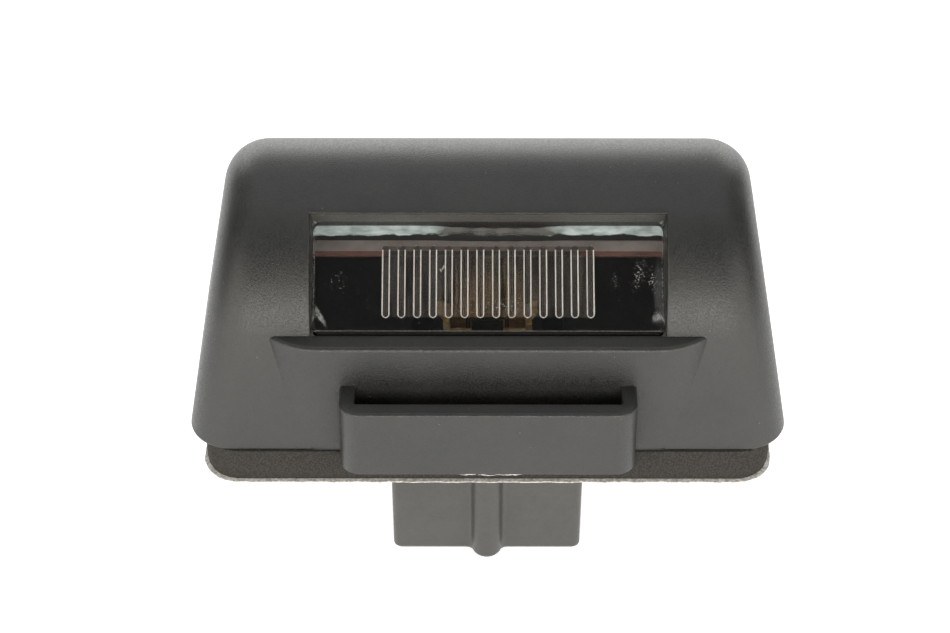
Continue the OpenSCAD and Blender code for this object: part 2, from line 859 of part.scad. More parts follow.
module release_liner() {
    color([0.92, 0.92, 0.9])
        linear_extrude(liner_t)
            difference() {
                round_rect(gasket_w + 2 * liner_proud, gasket_d + 2 * liner_proud, gasket_r + liner_proud);
                round_rect(hole_w, hole_d, gasket_hole_r);
            }
}

housing();
lens();
base();
contact_left();
contact_right();
bulb_glass();
bulb_lead_left();
bulb_lead_right();
bulb_filament();
spring_clip();
gasket();
release_liner();
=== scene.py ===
"""Number plate lamp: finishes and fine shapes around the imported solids."""

from math import cos, degrees, radians, sin, tan

import bmesh
import bpy
import numpy as np
from bpy.props import FloatProperty, FloatVectorProperty
from bpy.types import Operator, Panel, PropertyGroup
from mathutils import Matrix, Vector


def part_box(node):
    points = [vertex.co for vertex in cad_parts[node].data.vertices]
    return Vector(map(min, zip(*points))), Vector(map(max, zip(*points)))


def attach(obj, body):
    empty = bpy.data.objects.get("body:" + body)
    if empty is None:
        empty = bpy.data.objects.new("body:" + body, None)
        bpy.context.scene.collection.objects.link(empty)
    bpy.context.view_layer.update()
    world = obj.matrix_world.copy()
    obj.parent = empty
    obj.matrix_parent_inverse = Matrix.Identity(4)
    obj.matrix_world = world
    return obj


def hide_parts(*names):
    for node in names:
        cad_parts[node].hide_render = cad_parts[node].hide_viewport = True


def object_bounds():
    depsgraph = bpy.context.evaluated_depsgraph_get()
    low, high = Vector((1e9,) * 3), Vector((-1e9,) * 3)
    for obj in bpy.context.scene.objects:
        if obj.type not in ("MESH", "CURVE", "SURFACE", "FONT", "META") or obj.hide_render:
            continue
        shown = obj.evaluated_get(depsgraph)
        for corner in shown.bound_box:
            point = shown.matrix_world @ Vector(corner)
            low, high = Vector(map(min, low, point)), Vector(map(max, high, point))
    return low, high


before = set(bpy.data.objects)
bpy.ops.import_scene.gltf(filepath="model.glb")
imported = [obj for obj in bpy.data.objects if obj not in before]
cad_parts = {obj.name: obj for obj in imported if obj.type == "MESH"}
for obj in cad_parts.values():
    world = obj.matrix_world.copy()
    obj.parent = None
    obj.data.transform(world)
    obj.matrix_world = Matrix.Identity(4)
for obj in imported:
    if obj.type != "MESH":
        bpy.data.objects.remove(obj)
CAD_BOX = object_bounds()

bl_info = {
    "name": "Number plate lamp",
    "version": (1, 0, 0),
    "blender": (4, 5, 0),
    "location": "3D View > Sidebar > Plate lamp",
    "description": "Builds the surfaces and finishes of a number plate lamp",
    "category": "Object",
}

# Shapes are worked out in millimetres, in the frame of the housing's foot: y runs back from its front edge
# and z up from its base
MM = 0.001
HOUSING_BOX = np.array(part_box("housing")) / MM
SEAT_Z = HOUSING_BOX[0, 2]
FRONT_Y = -HOUSING_BOX[1, 1]
BASE_W = 2 * HOUSING_BOX[1, 0]

# The housing's form: arcs that follow each other up the front and over the crown, as (last lean, radius)
LEDGE_H = 15.1
FACE_LEANS = (10.0, 20.0)
BROW_LEAN = 66.0
FOREHEAD_LEAN = 72.5
REAR_LEAN = 165.0
FACE_R = LEDGE_H / (sin(radians(FACE_LEANS[1])) - sin(radians(FACE_LEANS[0])))
ARCS = ((FACE_LEANS[1], FACE_R), (BROW_LEAN, 20.9), (FOREHEAD_LEAN, 40.0), (REAR_LEAN, 12.8))
SIDE_DRAFT = radians(10)
EDGE_R = 5.9
WALL = 2.1
RIM_W = 1.5
REBATE_T = 2.0

# The window: the lens lies in its own frame, y up along it and z out of its face
LENS_TILT = radians(37)
LENS_SETBACK = 0.05
LENS_W = 44.0
LENS_L = 14.8
LENS_T = 2.2
LENS_CORNER_R = 1.2
LENS_EDGE_R = 0.75
LENS_TOP_R = 1.6
LENS_GAP = 0.1
SILL_RISE = 0.05
LIP_W = 0.6
LIP_T = 1.2
SHELF_W = 3.75
SHELF_DROP = 0.6
FRAME_T = 1.6
WINDOW_SIDE_DRAFT = radians(2)
WINDOW_TOP_DRAFT = radians(1)
SHELF_CORNER_R = 0.15

# Chin and pocket
CHIN_HALF_W = 21.0
CHIN_END_R = 9.0
CHIN_END_TURN = radians(60)
CHIN_LEAN = radians(5.5)
POCKET_W = 37.0
POCKET_H = 9.7
POCKET_REACH = 4.8
POCKET_FRONT_T = 2.3
POCKET_SIDE_T = 1.9
POCKET_FLOOR_T = 1.6
POCKET_R = 2.6
POCKET_INNER_R = 0.3
POCKET_ROOT = 1.3
# The round of the pocket's foot as (inset, height), and the share of the rim's round that its inner edge has
POCKET_FOOT = ((0.25, 0.0), (0.07, 0.07), (0.0, 0.25))
POCKET_INNER_ROUND = 0.6

# Flutes on the back of the lens, with the tool marks that run beside each flute's middle line, from and to
FLUTE_COUNT = 14
FLUTE_PITCH = 1.975
FLUTE_W = 0.84
FLUTE_L = 9.24
FLUTE_FOOT = 2.81
FLUTE_T = 0.3
MARK_X = (0.09, 0.16)

# Where the gate was trimmed off the lens's top edge, and how far down the lens its dip fades out
GATE_X = 1.3
GATE_HALF_W = 9.0
GATE_DIP = 0.4
GATE_FADE = 3.0

# Painted highlight band on the lens's back, down from its top edge: its start, where a painted dark strip
# begins, its end
BAND_START = 0.12
BAND_DARK_FROM = 1.26
BAND_END = 1.95

# Painted shade along the lens's foot ends at the first height, and a painted highlight over it at the second
FOOT_SHADE_TOP = 0.62
FOOT_HIGHLIGHT_TOP = 0.71

# Reddish painted reflection on the shelf behind the lens: height of its strip, and how far from the middle it
# starts
TINT_H = 0.6
TINT_X = 13.4

# Specks on the lens, in its own frame: x, y, reach along both, turn in degrees, size of a grain, weight.
# Real dust is finer; these grains are the smallest that show
LENS_SPECKS = (
    (18.9, 8.2, 1.9, 4.6, -15, 0.22, 0.26),
    (20.6, 7.2, 1.4, 3.6, 0, 0.24, 0.26),
    (16.0, 7.0, 1.8, 2.2, 0, 0.2, 0.2),
    (-18.8, 7.6, 4.5, 4.4, 0, 0.24, 0.16),
    (-14.5, 5.0, 3.0, 4.0, 0, 0.2, 0.14),
    (-5.6, 8.9, 0.16, 0.62, -32, 0.5, 1.2),
    (-5.95, 8.55, 0.12, 0.34, 24, 0.5, 1.2),
    (1.5, 4.0, 7.0, 2.5, 0, 0.2, 0.22))

# Dried smears on it, and painted highlights along its side edges: x, y, reach along both, turn in degrees,
# weight
LENS_SMEARS_AND_HIGHLIGHTS = (
    # The first and last rows are painted highlights on the lens's rounded side edges; the rest are smears
    (-21.8, 7.5, 0.16, 7.8, 0, 0.5),
    (-21.1, 2.9, 0.36, 2.1, 30, 0.3),
    (21.1, 2.6, 0.9, 0.6, 40, 0.3),
    (21.4, 6.0, 0.8, 5.0, 0, 0.06),
    (21.8, 7.0, 0.15, 7.2, 0, 0.45))

# Rings of foam and paper: corner radii outside and inside, width of the band, and the steps of their outlines
GASKET_R = (4.6, 3.0)
GASKET_BAND = 5.8
PAPER_R = (5.0, 3.0)
PAPER_BAND = 6.2
RING_STEP = 0.3
CORNER_STEPS = 24

# The foam's cut wall: how far its pressed edges are rounded back, share of the pores there, deepest point
FOAM_EDGE_R = 0.12
FOAM_EDGE_PORES = 0.3
FOAM_DEEPEST = 0.6

# Fibres torn from the paper: x, height over the foot, lean, length, width, bend
TORN_FIBRES = (
    (-3.6, 0.06, 1.55, 2.6, 0.1, 0.1),
    (-3.4, -0.05, 1.5, 1.5, 0.08, 0.1),
    (-2.9, 0.1, 1.62, 1.4, 0.08, 0.0),
    (-1.3, 0.02, 1.5, 2.4, 0.08, -0.1),
    (-0.9, -0.08, 1.58, 1.9, 0.1, 0.1),
    (0.9, 0.04, 1.6, 1.5, 0.08, 0.2),
    (1.9, -0.08, 1.45, 1.6, 0.1, 0.1),
    (2.6, 0.08, 1.6, 1.5, 0.12, -0.1),
    (4.3, 0.1, -1.7, 1.3, 0.1, 0.1),
    (12.2, -0.05, 0.2, 0.35, 0.14, 0.02))

# The bulb's filament
FILAMENT_WIRE_R = 0.05
FILAMENT_TURNS = 26

# Finishes of the housing's and the lens's cells, in the order in which their operators give them
# The shelf's two finishes and the ceiling's are painted light
PLASTIC, SHELF_PAINTED_LIGHT, SHELF_PAINTED_REFLECTION, CEILING_PAINTED_LIGHT = range(4)
# The lens's flanks, flute ends, top band and foot's two are painted light and shade; its marks and haze have
# a painted glow
CLEAR, FLANK, SHADED_END, TOOL_MARK, HAZED, TOP_BAND, FOOT_SHADE, FOOT_HIGHLIGHT = range(8)

# Steps of the housing's grid: rows below the window and up it, columns beside it and across it, and the rest
FOOT_ROWS = 11
HOLE_ROWS = 34
HOLE_COLS = 44
FLANK_COLS = 11
EDGE_STEPS = 14
WALL_STEPS = 7
REAR_ROWS = 4
ARC_SAMPLES = 4001

# Grid of the lens: widest cells across and up it, and the least gap between two lines
LENS_CELLS = (0.45, 0.4)
LENS_LEAST = 0.02

# What the lamps point at, and the lamps: name, place, width and height in metres, radiance, colour
AIM = (0.0, 0.0, 0.01)
LAMPS = (
    ("left_softbox", (-0.8, -0.6, 0.3), 0.9, 0.9, 2.15, "fffaf2"),
    ("right_softbox", (0.8, -0.6, 0.3), 0.9, 0.9, 2.15, "fffaf2"),
    ("front_softbox", (0.0, -1.3, 0.45), 1.4, 0.5, 5.2, "fffcf6"),
    ("overhead_softbox", (0.0, 0.25, 0.8), 1.2, 0.8, 0.85, "f0f7f6"),
    ("back_softbox", (0.0, 1.6, 0.5), 2.6, 1.0, 3.1, "fffffb"))


class StageSettings(PropertyGroup):
    place: FloatVectorProperty(
        name="Camera place", description="Where the camera stands", subtype="TRANSLATION", unit="LENGTH",
        default=(-0.0017, -0.27398, 0.22096))
    turn: FloatProperty(
        name="Turn", description="Turn of the camera about the upright", subtype="ANGLE",
        default=radians(-0.012))
    dip: FloatProperty(
        name="Dip", description="Angle at which the camera looks down", subtype="ANGLE",
        default=radians(37.564))
    roll: FloatProperty(
        name="Roll", description="Roll of the camera about its view", subtype="ANGLE", default=radians(0.06))
    focal: FloatProperty(
        name="Focal length", description="Focal length in mm, on a 36 mm wide film", default=99.77)
    fill: FloatProperty(
        name="Fill", description="Strength of the light that comes from all round", default=0.08)
    floor: FloatVectorProperty(
        name="Floor", description="Colour of the floor", subtype="COLOR", default=(0.8, 0.79, 0.775))
    floor_size: FloatProperty(
        name="Floor size", description="Length of the floor's side", unit="LENGTH", default=6.0)
    lift: FloatProperty(
        name="Lift", description="How far the floor is lifted towards white to the eye", default=0.7)
    sheen: FloatProperty(
        name="Sheen", description="How bright the floor is in reflections", default=1.0)


class HousingSettings(PropertyGroup):
    foot_round: FloatProperty(
        name="Foot round", description="Round on the edge of the foot", unit="LENGTH", default=0.25 * MM)
    window_round: FloatProperty(
        name="Window round", description="Round on the edge of the window", unit="LENGTH", default=0.3 * MM)
    ledge_round: FloatProperty(
        name="Ledge round", description="Round on the edge of the ledge", unit="LENGTH", default=0.55 * MM)
    pocket_round: FloatProperty(
        name="Pocket round", description="Round on the pocket's rim", unit="LENGTH", default=0.45 * MM)
    grain: FloatProperty(
        name="Grain", description="Size of the moulded grain", unit="LENGTH", default=0.22 * MM)


class LensSettings(PropertyGroup):
    bead_w: FloatProperty(
        name="Bead", description="Width of the bright edge of a flute", unit="LENGTH", default=0.16 * MM)
    haze: FloatProperty(
        name="Haze", description="Share of the light that the lens scatters between its flutes",
        subtype="FACTOR", default=0.2)


class SoftSettings(PropertyGroup):
    bulge: FloatProperty(
        name="Bulge", description="How far the pressed foam stands out", unit="LENGTH", default=0.15 * MM)
    pores: FloatProperty(
        name="Pores", description="Depth of the foam's open pores", unit="LENGTH", default=0.06 * MM)
    paper_fray: FloatProperty(
        name="Fray", description="How far the paper's torn edge wanders", unit="LENGTH", default=0.15 * MM)


def settings(name):
    """One of the scene's groups of settings."""
    return getattr(bpy.context.scene, "plate_lamp_" + name)


def srgb(code):
    """Linear colour of an sRGB hex code, with alpha."""
    values = np.array([int(code[i:i + 2], 16) for i in (0, 2, 4)]) / 255
    linear = np.where(values <= 0.04045, values / 12.92, ((values + 0.055) / 1.055) ** 2.4)
    return (*map(float, linear), 1.0)


def grey(value):
    """A neutral linear colour, with alpha."""
    return (value, value, value, 1.0)


def new_material(name):
    """A material without nodes."""
    material = bpy.data.materials.new(name)
    material.use_nodes = True
    material.node_tree.nodes.clear()
    return material


def add(material, kind, inputs=(), output=0, stops=(), **values):
    """Adds a node with its settings and links, and returns the named or numbered output, if it has any.

    Inputs are given by name or number and are set or linked. A ramp has (position, sRGB code) stops.
    """
    tree = material.node_tree
    made = tree.nodes.new("ShaderNode" + kind)
    for name, value in values.items():
        setattr(made, name, value)
    for name, value in dict(inputs).items():
        if isinstance(value, bpy.types.NodeSocket):
            tree.links.new(value, made.inputs[name])
        else:
            made.inputs[name].default_value = value
    for i, (position, code) in enumerate(stops):
        elements = made.color_ramp.elements
        element = elements[i] if i < 2 else elements.new(position)
        element.position = position
        element.color = srgb(code)
    return made.outputs[output] if made.outputs else None


def finish_material(material, shader, lets_light_through=False):
    """Ends a material; clear ones let the lamps light what is behind them."""
    if lets_light_through:
        path = add(material, "LightPath", output="Is Shadow Ray")
        clear = add(material, "BsdfTransparent", {"Color": grey(0.95)})
        shader = add(material, "MixShader", {0: path, 1: shader, 2: clear})
    add(material, "OutputMaterial", {"Surface": shader})
    return material


def lens_place(material):
    """Position in the lens's own frame, in millimetres."""
    return add(material, "Mapping", {
        "Vector": add(material, "TexCoord", output="Object"),
        "Location": tuple(to_part(lens_to_foot(0.0, 0.0, 0.0))), "Rotation": (LENS_TILT, 0, 0),
        "Scale": (MM, MM, MM)}, vector_type="TEXTURE")


def patch(material, place, x, y, reach_x, reach_y, turn=0.0):
    """1 at the middle of an ellipse in the lens's frame, falling to 0 at its outline."""
    local = add(material, "Mapping", {
        "Vector": place, "Location": (x, y, 0), "Rotation": (0, 0, radians(turn)),
        "Scale": (reach_x, reach_y, 8.0)}, vector_type="TEXTURE")
    out = add(material, "VectorMath", {0: local}, "Value", operation="LENGTH")
    return add(material, "MapRange", {"Value": out, "From Min": 1.0, "From Max": 0.0})


def dirt_specks(material, place, spots):
    """Specks: where noise of a spot's own grain, plus the spot's weight, passes a limit."""
    total = 0.0
    for *where, size, weight in spots:
        grains = add(material, "TexNoise", {"Vector": place, "Scale": 1 / size})
        near = patch(material, place, *where)
        level = add(material, "Math", {0: near, 1: weight, 2: grains}, operation="MULTIPLY_ADD")
        speck = add(material, "MapRange", {"Value": level, "From Min": 0.8, "From Max": 0.9})
        total = add(material, "Math", {0: total, 1: speck}, operation="MAXIMUM")
    return total


def dried_film_and_highlights(material, place, smears_and_highlights):
    """A thin dried film, with painted highlights: each entry's weight, fading to its outline, and mottled."""
    grains = add(material, "TexNoise", {"Vector": place, "Scale": 1 / 0.35, "Detail": 3.0})
    mottle = add(material, "MapRange", {"Value": grains, "From Min": 0.3, "From Max": 0.6})
    total = 0.0
    for *where, weight in smears_and_highlights:
        near = patch(material, place, *where)
        near = add(material, "MapRange", {"Value": near, "From Max": 0.6, "To Max": weight})
        total = add(material, "Math", {0: total, 1: near}, operation="MAXIMUM")
    return add(material, "Math", {0: total, 1: mottle}, operation="MULTIPLY")


def moulded_plastic(name, dark, light, rough, grain, dust):
    """Carbon-black ABS moulded against a spark-eroded tool: a broad soft sheen over a fine even grain.

    Lighter and darker cloudy patches are the flow of the melt; pale specks are dust and scuffs. The real
    grain is under 0.1 mm, and is drawn coarser here so that it shows.
    """
    material = new_material(name)
    place = add(material, "TexCoord", output="Object")
    cloud = add(material, "TexNoise", {"Vector": place, "Scale": 1 / (7 * MM), "Detail": 4.0})
    mottle = add(material, "TexNoise", {"Vector": place, "Scale": 1 / (1.1 * MM)})
    fine = add(material, "TexNoise", {"Vector": place, "Scale": 1 / grain, "Detail": 1.0})
    tone = add(material, "Math", {0: mottle, 1: 0.5, 2: cloud}, operation="MULTIPLY_ADD")
    colour = add(material, "ValToRGB", {"Fac": tone}, stops=((0.55, dark), (0.95, light)))
    speck = add(material, "TexVoronoi", {"Vector": place, "Scale": 1 / (2 * MM)})
    dusty = add(material, "MapRange", {
        "Value": speck, "From Min": 0.045, "From Max": 0.02, "To Max": dust})
    colour = add(material, "Mix", {0: dusty, 6: colour, 7: srgb("8f8c86")}, 2, data_type="RGBA")
    gloss = add(material, "MapRange", {
        "Value": fine, "From Min": 0.3, "From Max": 0.7, "To Min": rough - 0.1, "To Max": rough + 0.1})
    relief = add(material, "Bump", {"Strength": 0.8, "Distance": 0.035 * MM, "Height": fine})
    shader = add(material, "BsdfPrincipled", {
        "Base Color": colour, "Roughness": gloss, "IOR": 1.65, "Normal": relief})
    return finish_material(material, shader)


def painted_light_shelf(name, dark, light):
    """ABS behind the lens's edge, glossier where the lens was pressed on it; its colours, pale mauve and
    reddish, are painted light.
    """
    material = new_material(name)
    place = add(material, "TexCoord", output="Object")
    # The noise mottles the painted light's colour and the gloss
    dust = add(material, "TexNoise", {"Vector": place, "Scale": 1 / (1.6 * MM), "Detail": 3.0})
    colour = add(material, "ValToRGB", {"Fac": dust}, stops=((0.3, dark), (0.7, light)))
    gloss = add(material, "MapRange", {
        "Value": dust, "From Min": 0.3, "From Max": 0.7, "To Min": 0.5, "To Max": 0.65})
    shader = add(material, "BsdfPrincipled", {"Base Color": colour, "Roughness": gloss, "IOR": 1.5})
    return finish_material(material, shader)


def clear_plastic(name):
    """Injection moulded clear polycarbonate: glossy and faintly wavy, with dust, a nick, dried residue and
    painted highlights.

    Flow streaks at the trimmed gate roughen the top edge.
    """
    material = new_material(name)
    place = lens_place(material)
    specks = dirt_specks(material, place, LENS_SPECKS)
    residue_and_highlights = dried_film_and_highlights(material, place, LENS_SMEARS_AND_HIGHLIGHTS)
    soil_and_highlights = add(material, "Math", {0: specks, 1: residue_and_highlights}, operation="MAXIMUM")
    gate = patch(material, place, GATE_X, LENS_L, GATE_HALF_W, 2.6)
    drawn = add(material, "Mapping", {
        "Vector": place, "Rotation": (0, 0, radians(14)), "Scale": (0.35, 2.4, 1.0)})
    streaks = add(material, "TexNoise", {
        "Vector": drawn, "Scale": 1 / 0.8, "Detail": 3.0, "Distortion": 1.6})
    wave = add(material, "TexNoise", {"Vector": place, "Scale": 1 / 3, "Detail": 1.0})
    wave = add(material, "Math", {0: wave, 1: 0.12}, operation="MULTIPLY")
    wave = add(material, "Math", {0: gate, 1: streaks, 2: wave}, operation="MULTIPLY_ADD")
    colour = add(material, "Mix", {0: soil_and_highlights, 6: srgb("f6f7f7"), 7: srgb("98938a")}, 2, data_type="RGBA")
    gloss = add(material, "MapRange", {"Value": soil_and_highlights, "To Min": 0.02, "To Max": 0.6})
    clear = add(material, "MapRange", {"Value": soil_and_highlights, "To Min": 1.0, "To Max": 0.15})
    relief = add(material, "Bump", {"Strength": 0.5, "Distance": 0.25 * MM, "Height": wave})
    shader = add(material, "BsdfPrincipled", {
        "Base Color": colour, "Roughness": gloss, "IOR": 1.56, "Transmission Weight": clear,
        "Normal": relief})
    return finish_material(material, shader, True)


def hazed_plastic(name, colour, warm, haze):
    """Clear polycarbonate over worn tooling: faint haze in upright streaks, warmer and denser near the bulb
    as a painted glow.
    """
    material = new_material(name)
    place = lens_place(material)
    drawn = add(material, "Mapping", {"Vector": place, "Scale": (1.0, 0.07, 1.0)})
    streak = add(material, "TexNoise", {"Vector": drawn, "Scale": 1 / 0.3})
    streak = add(material, "Math", {0: streak, 1: 0.7}, operation="MULTIPLY")
    mottle = add(material, "TexNoise", {"Vector": place, "Scale": 1 / 0.16, "Detail": 1.0})
    tone = add(material, "Math", {0: mottle, 1: 0.3, 2: streak}, operation="MULTIPLY_ADD")
    scattered = add(material, "MapRange", {
        "Value": tone, "From Min": 0.38, "From Max": 0.62, "To Min": 0.1 * haze, "To Max": haze})
    # Painted glow: near the bulb the haze is warmer and denser, standing in for the bulb's glass and brass
    # glinting behind
    near_bulb = patch(material, place, 0.3, 4.5, 9.0, 7.0)
    bulb_glow = add(material, "MapRange", {"Value": near_bulb, "From Min": 0.1, "From Max": 0.6})
    glow_haze = add(material, "MapRange", {"Value": bulb_glow, "To Min": 0.4, "To Max": 1.1})
    height = add(material, "SeparateXYZ", {"Vector": place}, "Y")
    below = add(material, "MapRange", {"Value": height, "From Min": 11.8, "From Max": 10.6})
    for share in (glow_haze, below):
        scattered = add(material, "Math", {0: scattered, 1: share}, operation="MULTIPLY")
    clear = add(material, "Math", {0: 1.0, 1: scattered}, operation="SUBTRACT")
    tint = add(material, "Mix", {0: bulb_glow, 6: srgb(colour), 7: srgb(warm)}, 2, data_type="RGBA")
    shader = add(material, "BsdfPrincipled", {
        "Base Color": tint, "Roughness": 0.06, "IOR": 1.56, "Transmission Weight": clear})
    return finish_material(material, shader, True)


def painted_light_plastic(name, dark, light, glow, grain=0.12, ior=1.5):
    """Spark-rough polycarbonate drawn opaque, with a painted glow: it paints highlights and shade on the
    lens.

    Its grain, in mm, is drawn coarser than the real one so that it shows.
    """
    material = new_material(name)
    place = add(material, "TexCoord", output="Object")
    fine = add(material, "TexNoise", {"Vector": place, "Scale": 1 / (grain * MM)})
    colour = add(material, "ValToRGB", {"Fac": fine}, stops=((0.35, dark), (0.65, light)))
    shader = add(material, "BsdfPrincipled", {
        "Base Color": colour, "Roughness": 0.5, "IOR": ior, "Emission Color": colour,
        "Emission Strength": glow})
    return finish_material(material, shader)


def painted_top_band(name, glow):
    """Painted highlight band along the back of the lens's top edge: cool white, streaked, glowing, duller at
    the gate.

    Below a ragged line it becomes a painted dark strip, painted shade.
    """
    material = new_material(name)
    place = lens_place(material)
    drawn = add(material, "Mapping", {"Vector": place, "Scale": (0.25, 1.6, 1.0)})
    streak = add(material, "TexNoise", {"Vector": drawn, "Scale": 1 / 0.5, "Detail": 3.0})
    gate = patch(material, place, GATE_X, LENS_L - 1, GATE_HALF_W, 4.0)
    dull = add(material, "MapRange", {
        "Value": streak, "From Min": 0.62, "From Max": 0.3, "To Max": 0.55})
    share = add(material, "Math", {0: gate, 1: 3.2, 2: dull}, operation="MULTIPLY_ADD")
    colour = add(material, "ValToRGB", {"Fac": share}, stops=(
        (0.0, "b3bdbc"), (0.55, "808a88"), (1.0, "4c4a46")))
    drawn = add(material, "Mapping", {"Vector": place, "Scale": (0.4, 1.0, 1.0)})
    ragged = add(material, "TexNoise", {"Vector": drawn, "Scale": 1 / 0.7, "Detail": 4.0})
    shift = add(material, "MapRange", {
        "Value": ragged, "From Min": 0.3, "From Max": 0.7, "To Min": -0.16, "To Max": 0.16})
    height = add(material, "SeparateXYZ", {"Vector": place}, "Y")
    level = add(material, "Math", {0: height, 1: shift}, operation="ADD")
    low = LENS_L - BAND_DARK_FROM
    # The painted dark strip under the painted highlight band
    dark_strip = add(material, "MapRange", {"Value": level, "From Min": low + 0.06, "From Max": low - 0.06})
    colour = add(material, "Mix", {0: dark_strip, 6: colour, 7: srgb("0c0b0b")}, 2, data_type="RGBA")
    shader = add(material, "BsdfPrincipled", {
        "Base Color": colour, "Roughness": 0.4, "IOR": 1.5, "Emission Color": colour,
        "Emission Strength": glow})
    return finish_material(material, shader)


def bulb_glass(name):
    """Drawn soda-lime glass: thin and clear, browned by evaporated tungsten."""
    material = new_material(name)
    place = add(material, "TexCoord", output="Object")
    wave = add(material, "TexNoise", {"Vector": place, "Scale": 1 / (2 * MM), "Detail": 1.0})
    relief = add(material, "Bump", {"Strength": 0.2, "Distance": 0.05 * MM, "Height": wave})
    shader = add(material, "BsdfPrincipled", {
        "Base Color": srgb("e6cf9f"), "Roughness": 0.03, "IOR": 1.52, "Transmission Weight": 1.0,
        "Normal": relief})
    return finish_material(material, shader, True)


def worn_metal(name, dark, light, rough, blotch, metallic=1.0):
    """Rolled or drawn metal with a dull film in blotches, so its gloss is uneven; fine drawing marks."""
    material = new_material(name)
    place = add(material, "TexCoord", output="Object")
    tarnish = add(material, "TexNoise", {"Vector": place, "Scale": 1 / blotch, "Detail": 4.0})
    fine = add(material, "TexNoise", {"Vector": place, "Scale": 1 / (0.15 * MM), "Detail": 1.0})
    colour = add(material, "ValToRGB", {"Fac": tarnish}, stops=((0.3, dark), (0.7, light)))
    gloss = add(material, "MapRange", {"Value": tarnish, "To Min": rough + 0.15, "To Max": rough - 0.05})
    relief = add(material, "Bump", {"Strength": 0.2, "Distance": 0.01 * MM, "Height": fine})
    shader = add(material, "BsdfPrincipled", {
        "Base Color": colour, "Metallic": metallic, "Roughness": gloss, "Normal": relief})
    return finish_material(material, shader)


def foam_rubber(name):
    """Die-cut closed-cell foam: matte, dark brown-grey, its cut cells catch light as fine pale grains."""
    material = new_material(name)
    place = add(material, "TexCoord", output="Object")
    cells = add(material, "TexVoronoi", {"Vector": place, "Scale": 1 / (0.24 * MM)})
    mottle = add(material, "TexNoise", {"Vector": place, "Scale": 1 / (0.6 * MM)})
    tone = add(material, "Math", {0: mottle, 1: 0.3, 2: cells}, operation="MULTIPLY_ADD")
    colour = add(material, "ValToRGB", {"Fac": tone}, stops=((0.2, "4b4945"), (0.8, "34322f")))
    relief = add(material, "Bump", {"Strength": 0.6, "Distance": 0.05 * MM, "Height": cells}, invert=True)
    shader = add(material, "BsdfPrincipled", {
        "Base Color": colour, "Roughness": 0.9, "IOR": 1.4, "Normal": relief})
    return finish_material(material, shader)


def release_paper(name):
    """Silicone-coated kraft liner: white, slightly glossy, fibrous where it is torn."""
    material = new_material(name)
    place = add(material, "TexCoord", output="Object")
    fibre = add(material, "TexNoise", {"Vector": place, "Scale": 1 / (0.4 * MM), "Detail": 4.0})
    colour = add(material, "ValToRGB", {"Fac": fibre}, stops=((0.35, "b9b6b0"), (0.65, "f6f4f0")))
    relief = add(material, "Bump", {"Strength": 0.4, "Distance": 0.03 * MM, "Height": fibre})
    shader = add(material, "BsdfPrincipled", {
        "Base Color": colour, "Roughness": 0.55, "IOR": 1.45, "Normal": relief})
    return finish_material(material, shader)


def studio_floor(name, colour, lift, sheen):
    """Matte white card: a diffuse sweep that keeps the object's shadow.

    The camera sees it near white, and reflections and clear pieces show it white.
    """
    material = new_material(name)
    path = add(material, "LightPath").node.outputs
    mirrored = add(material, "Math", {
        0: path["Is Glossy Ray"], 1: path["Is Transmission Ray"]}, operation="MAXIMUM")
    mirrored = add(material, "Math", {0: mirrored, 1: sheen}, operation="MULTIPLY")
    direct = add(material, "Math", {0: path["Is Camera Ray"], 1: lift}, operation="MULTIPLY")
    glow = add(material, "Math", {0: mirrored, 1: direct}, operation="MAXIMUM")
    shader = add(material, "BsdfPrincipled", {
        "Base Color": (*colour, 1.0), "Roughness": 0.9, "IOR": 1.4,
        "Emission Color": grey(1.0), "Emission Strength": glow})
    return finish_material(material, shader)


def grid_faces(rows, cols, wrap=False, flip=False):
    """Quads of a rows by cols grid of points, which face along (column step) x (row step).

    Wrap closes the columns.
    """
    r = np.arange(rows - 1)[:, None]
    c = np.arange(cols if wrap else cols - 1)[None, :]
    c1 = (c + 1) % cols
    corners = [r * cols + c, r * cols + c1, (r + 1) * cols + c1, (r + 1) * cols + c]
    quads = np.stack(np.broadcast_arrays(*corners), -1)
    return quads[..., ::-1] if flip else quads


def surface(points, wrap=False, flip=False, keep=None, paint=0):
    """A grid of points (rows, cols, 3) as (points, quads, paint); keep masks the quads."""
    points = np.asarray(points, float)
    quads = grid_faces(points.shape[0], points.shape[1], wrap, flip)
    quads = quads[keep] if keep is not None else quads.reshape(-1, 4)
    paints = np.broadcast_to(paint, quads.shape[:1]) if np.ndim(paint) == 0 else np.asarray(paint)
    return points.reshape(-1, 3), quads, paints


def cap(loop, flip=False):
    """One face that closes a flat loop of points."""
    return np.asarray(loop, float), [tuple(range(len(loop)))[::-1 if flip else 1]], np.zeros(1, int)


def make_piece(name, surfaces, materials, smooth=32.0, to_frame=None):
    """Joins surfaces into one mesh in metres, merges their seams and smooths all but the sharp edges."""
    points, faces, paints = [], [], []
    start = 0
    for p, f, m in surfaces:
        points.append(p)
        faces += (np.asarray(f) + start).tolist() if isinstance(f, np.ndarray) else [
            tuple(i + start for i in face) for face in f]
        paints.append(np.asarray(m, int))
        start += len(p)
    place = (to_frame or to_part)(np.concatenate(points))
    mesh = bpy.data.meshes.new(name)
    mesh.from_pydata(place.tolist(), [], faces)
    mesh.polygons.foreach_set("material_index", np.concatenate(paints).astype(np.int32))
    for material in materials:
        mesh.materials.append(material)
    work = bmesh.new()
    work.from_mesh(mesh)
    bmesh.ops.remove_doubles(work, verts=work.verts, dist=1e-7)
    bmesh.ops.dissolve_degenerate(work, edges=work.edges, dist=1e-7)
    work.to_mesh(mesh)
    work.free()
    piece = smooth_piece(mesh, smooth)
    ride_evenly(piece)
    return piece


